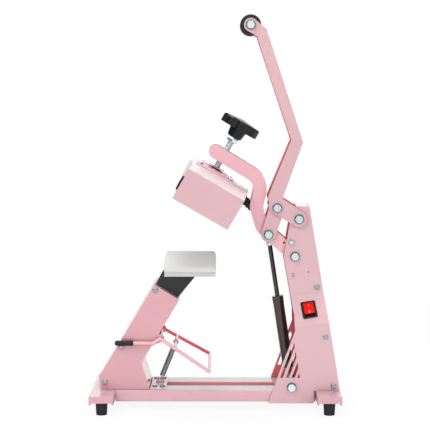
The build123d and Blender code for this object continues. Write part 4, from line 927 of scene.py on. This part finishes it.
class PRESS_OT_controller(Operator):
    """Finishes the controller, adds its housing and puts unlit figures in its display"""
    bl_idname = "press.controller"
    bl_label = "Controller"

    def execute(self, context):
        dress(NODES["display_window"], "smoked_window")
        for i in range(3):
            dress(NODES["button_" + str(i + 1)], "button_cap")
        self.housing()
        height = sizes().digit_height
        display_level, display_offset, display_face, digit_step = 0.0240, 0.0135, 0.0029, 0.78
        face = HEAD_ORIGIN + HEAD_ALONG * HEAD_FRONT + HEAD_UP * display_level
        bm = bmesh.new()
        for digit in (-1, 0, 1):
            across = display_offset + digit * height * digit_step
            self.figure(bm, Vector((across, 0.0, display_face)), height)
        bmesh.ops.transform(bm, matrix=place(face, -Y_AXIS, -HEAD_ALONG), verts=bm.verts)
        settle(bm, "display_figures", "head", "unlit_segment")
        return {"FINISHED"}

    def housing(self):
        """A shallow pale housing on the front end, from the faceplate up to the arched top."""
        low, high, half = 0.0386, 0.0722, 0.0345
        upper_face, lower_face, crown = -0.0606, -0.0588, 0.0027
        rim, seam = 0.0011, 0.003
        bm = bmesh.new()
        for vert in bmesh.ops.create_cube(bm, size=1.0)["verts"]:
            top = vert.co.z > 0.0
            if vert.co.x < 0.0:
                vert.co.x = upper_face if top else lower_face
            else:
                vert.co.x = HEAD_FRONT
            vert.co.y = math.copysign(half, vert.co.y)
            vert.co.z = high if top else low
        across = [e for e in bm.edges if abs(e.verts[0].co.y - e.verts[1].co.y) > half]
        bmesh.ops.subdivide_edges(bm, edges=across, cuts=11, use_grid_fill=True)
        for vert in bm.verts:
            if vert.co.z > (low + high) / 2.0:
                vert.co.z -= crown * (vert.co.y / half) ** 2
        rims = [e for e in bm.edges
                if e.calc_face_angle(0.0) > SHARP_ANGLE and min(v.co.x for v in e.verts) < HEAD_FRONT - seam]
        ease(bm, rims, rim, 3)
        bmesh.ops.transform(bm, matrix=place(HEAD_ORIGIN, HEAD_ALONG, HEAD_UP), verts=bm.verts)
        settle(bm, "controller_housing", "head", "housing_plastic")

    def figure(self, bm, middle, height):
        """Seven bars of one figure, three level and four upright."""
        half, across, line, film = height / 2.0, height * 0.27, height * 0.11, 0.0001
        level, upright = (across * 1.7, line, film), (line, half * 0.86, film)
        bars = [((0.0, half), level), ((0.0, 0.0), level), ((0.0, -half), level)]
        bars += [((x, y), upright) for y in (half / 2.0, -half / 2.0) for x in (-across, across)]
        for (x, y), size in bars:
            matrix = Matrix.Translation(middle + Vector((x, y, 0.0))) @ Matrix.Diagonal(size + (1.0,))
            bmesh.ops.create_cube(bm, size=1.0, matrix=matrix)


class PRESS_OT_stage(Operator):
    """Adds the floor, the lamps, the world and the camera"""
    bl_idname = "press.stage"
    bl_label = "Stage"

    def execute(self, context):
        scene = context.scene
        self.floor(scene)
        self.world(scene)
        self.lamps(scene)
        self.camera(scene)
        scene.view_settings.view_transform = "Standard"
        return {"FINISHED"}

    def floor(self, scene):
        """A floor that looks white, with the contact shadows left in near the press."""
        reach, shadow_reach, shadow_share = 14.0, 1.3, 0.09
        bm = bmesh.new()
        bmesh.ops.create_grid(bm, x_segments=1, y_segments=1, size=reach)
        mesh = bpy.data.meshes.new("floor")
        bm.to_mesh(mesh)
        bm.free()
        floor = bpy.data.objects.new("floor", mesh)
        scene.collection.objects.link(floor)
        board = Board("white_floor")
        point = board.node("ShaderNodeTexCoord", output="Object")
        away = board.node("ShaderNodeVectorMath", {"operation": "LENGTH"}, {0: point}, "Value")
        near = (1.0 - away / shadow_reach).clipped()
        camera_ray = board.node("ShaderNodeLightPath", output="Is Camera Ray")
        matt = board.node("ShaderNodeBsdfDiffuse", None, {"Color": rgba(colours().floor)}, "BSDF")
        glow = board.node("ShaderNodeEmission", None, {"Color": WHITE, "Strength": 1.0}, "Emission")
        surface = board.node("ShaderNodeMixShader", None,
                             {0: camera_ray * (1.0 - near * shadow_share), 1: matt, 2: glow})
        mesh.materials.append(board.end(surface))

    def world(self, scene):
        """Even pale light. Reflections see white in front, behind and above, and dark flanks."""
        board = Board("studio", "worlds")
        look = board.node("ShaderNodeTexCoord", output="Generated")
        flank = board.node("ShaderNodeMapRange", {"interpolation_type": "SMOOTHSTEP"},
                           {"Value": board.along(look, "X").magnitude(), "From Min": 0.30,
                            "From Max": 0.66, "To Min": 1.0, "To Max": 0.10}, "Result")
        pale, reflected, white = (
            board.node("ShaderNodeBackground", None, {"Color": WHITE, "Strength": strength})
            for strength in (0.50, flank, 1.0))
        glossy_ray = board.node("ShaderNodeLightPath", output="Is Glossy Ray")
        camera_ray = board.node("ShaderNodeLightPath", output="Is Camera Ray")
        glossy = board.node("ShaderNodeMixShader", None, {0: glossy_ray, 1: pale, 2: reflected})
        seen = board.node("ShaderNodeMixShader", None, {0: camera_ray, 1: glossy, 2: white})
        scene.world = board.end(seen, "ShaderNodeOutputWorld")

    def lamps(self, scene):
        for name, at, aim, size, power in (("key", (-1.3, -1.7, 2.1), (0.0, 0.0, 0.3), 1.6, 24.0),
                                           ("fill", (1.8, -1.9, 1.1), (0.0, 0.0, 0.3), 1.8, 11.0),
                                           ("top", (0.1, 0.4, 2.4), (0.0, 0.0, 0.2), 1.6, 30.0)):
            lamp = bpy.data.lights.new(name, "AREA")
            lamp.shape = "DISK"
            lamp.size = size
            lamp.energy = power
            obj = bpy.data.objects.new(name, lamp)
            obj.location = at
            obj.rotation_euler = (Vector(aim) - Vector(at)).to_track_quat("-Z", "Y").to_euler()
            scene.collection.objects.link(obj)

    def camera(self, scene):
        picture_side, focal_length = 430.0, 1373.0
        dip, yaw = 5.4, 0.29
        data = bpy.data.cameras.new("camera")
        data.sensor_width = 36.0
        data.lens = focal_length / picture_side * data.sensor_width
        data.clip_end = 100.0
        camera = bpy.data.objects.new("camera", data)
        camera.location = (0.01095, -2.400, 0.56156)
        camera.rotation_euler = (math.radians(90.0 - dip), 0.0, math.radians(yaw))
        scene.collection.objects.link(camera)
        scene.camera = camera


STEPS = (
    PRESS_OT_painted_steel, PRESS_OT_hardware, PRESS_OT_gas_spring, PRESS_OT_set_screws,
    PRESS_OT_rubber_and_plastic, PRESS_OT_platens, PRESS_OT_silicone_pad, PRESS_OT_fibre_block,
    PRESS_OT_pressure_screw, PRESS_OT_tension_spring, PRESS_OT_switch, PRESS_OT_controller, PRESS_OT_stage)


class PRESS_PT_sidebar(Panel):
    """Lists the sizes, the colours and the steps"""
    bl_idname = "PRESS_PT_sidebar"
    bl_label = "Cap heat press"
    bl_space_type = "VIEW_3D"
    bl_region_type = "UI"
    bl_category = "Press"

    def draw(self, context):
        for group in (context.scene.press_sizes, context.scene.press_colours):
            box = self.layout.box()
            for name in group.__annotations__:
                box.prop(group, name)
        for step in STEPS:
            self.layout.operator(step.bl_idname)


CLASSES = (PressSizes, PressColours, *STEPS, PRESS_PT_sidebar)


def register():
    for made in CLASSES:
        bpy.utils.register_class(made)
    bpy.types.Scene.press_sizes = PointerProperty(type=PressSizes)
    bpy.types.Scene.press_colours = PointerProperty(type=PressColours)


def unregister():
    del bpy.types.Scene.press_colours
    del bpy.types.Scene.press_sizes
    for made in reversed(CLASSES):
        bpy.utils.unregister_class(made)


def main():
    register()
    for step in STEPS:
        group, name = step.bl_idname.split(".")
        getattr(getattr(bpy.ops, group), name)()


if __name__ == "__main__":
    main()
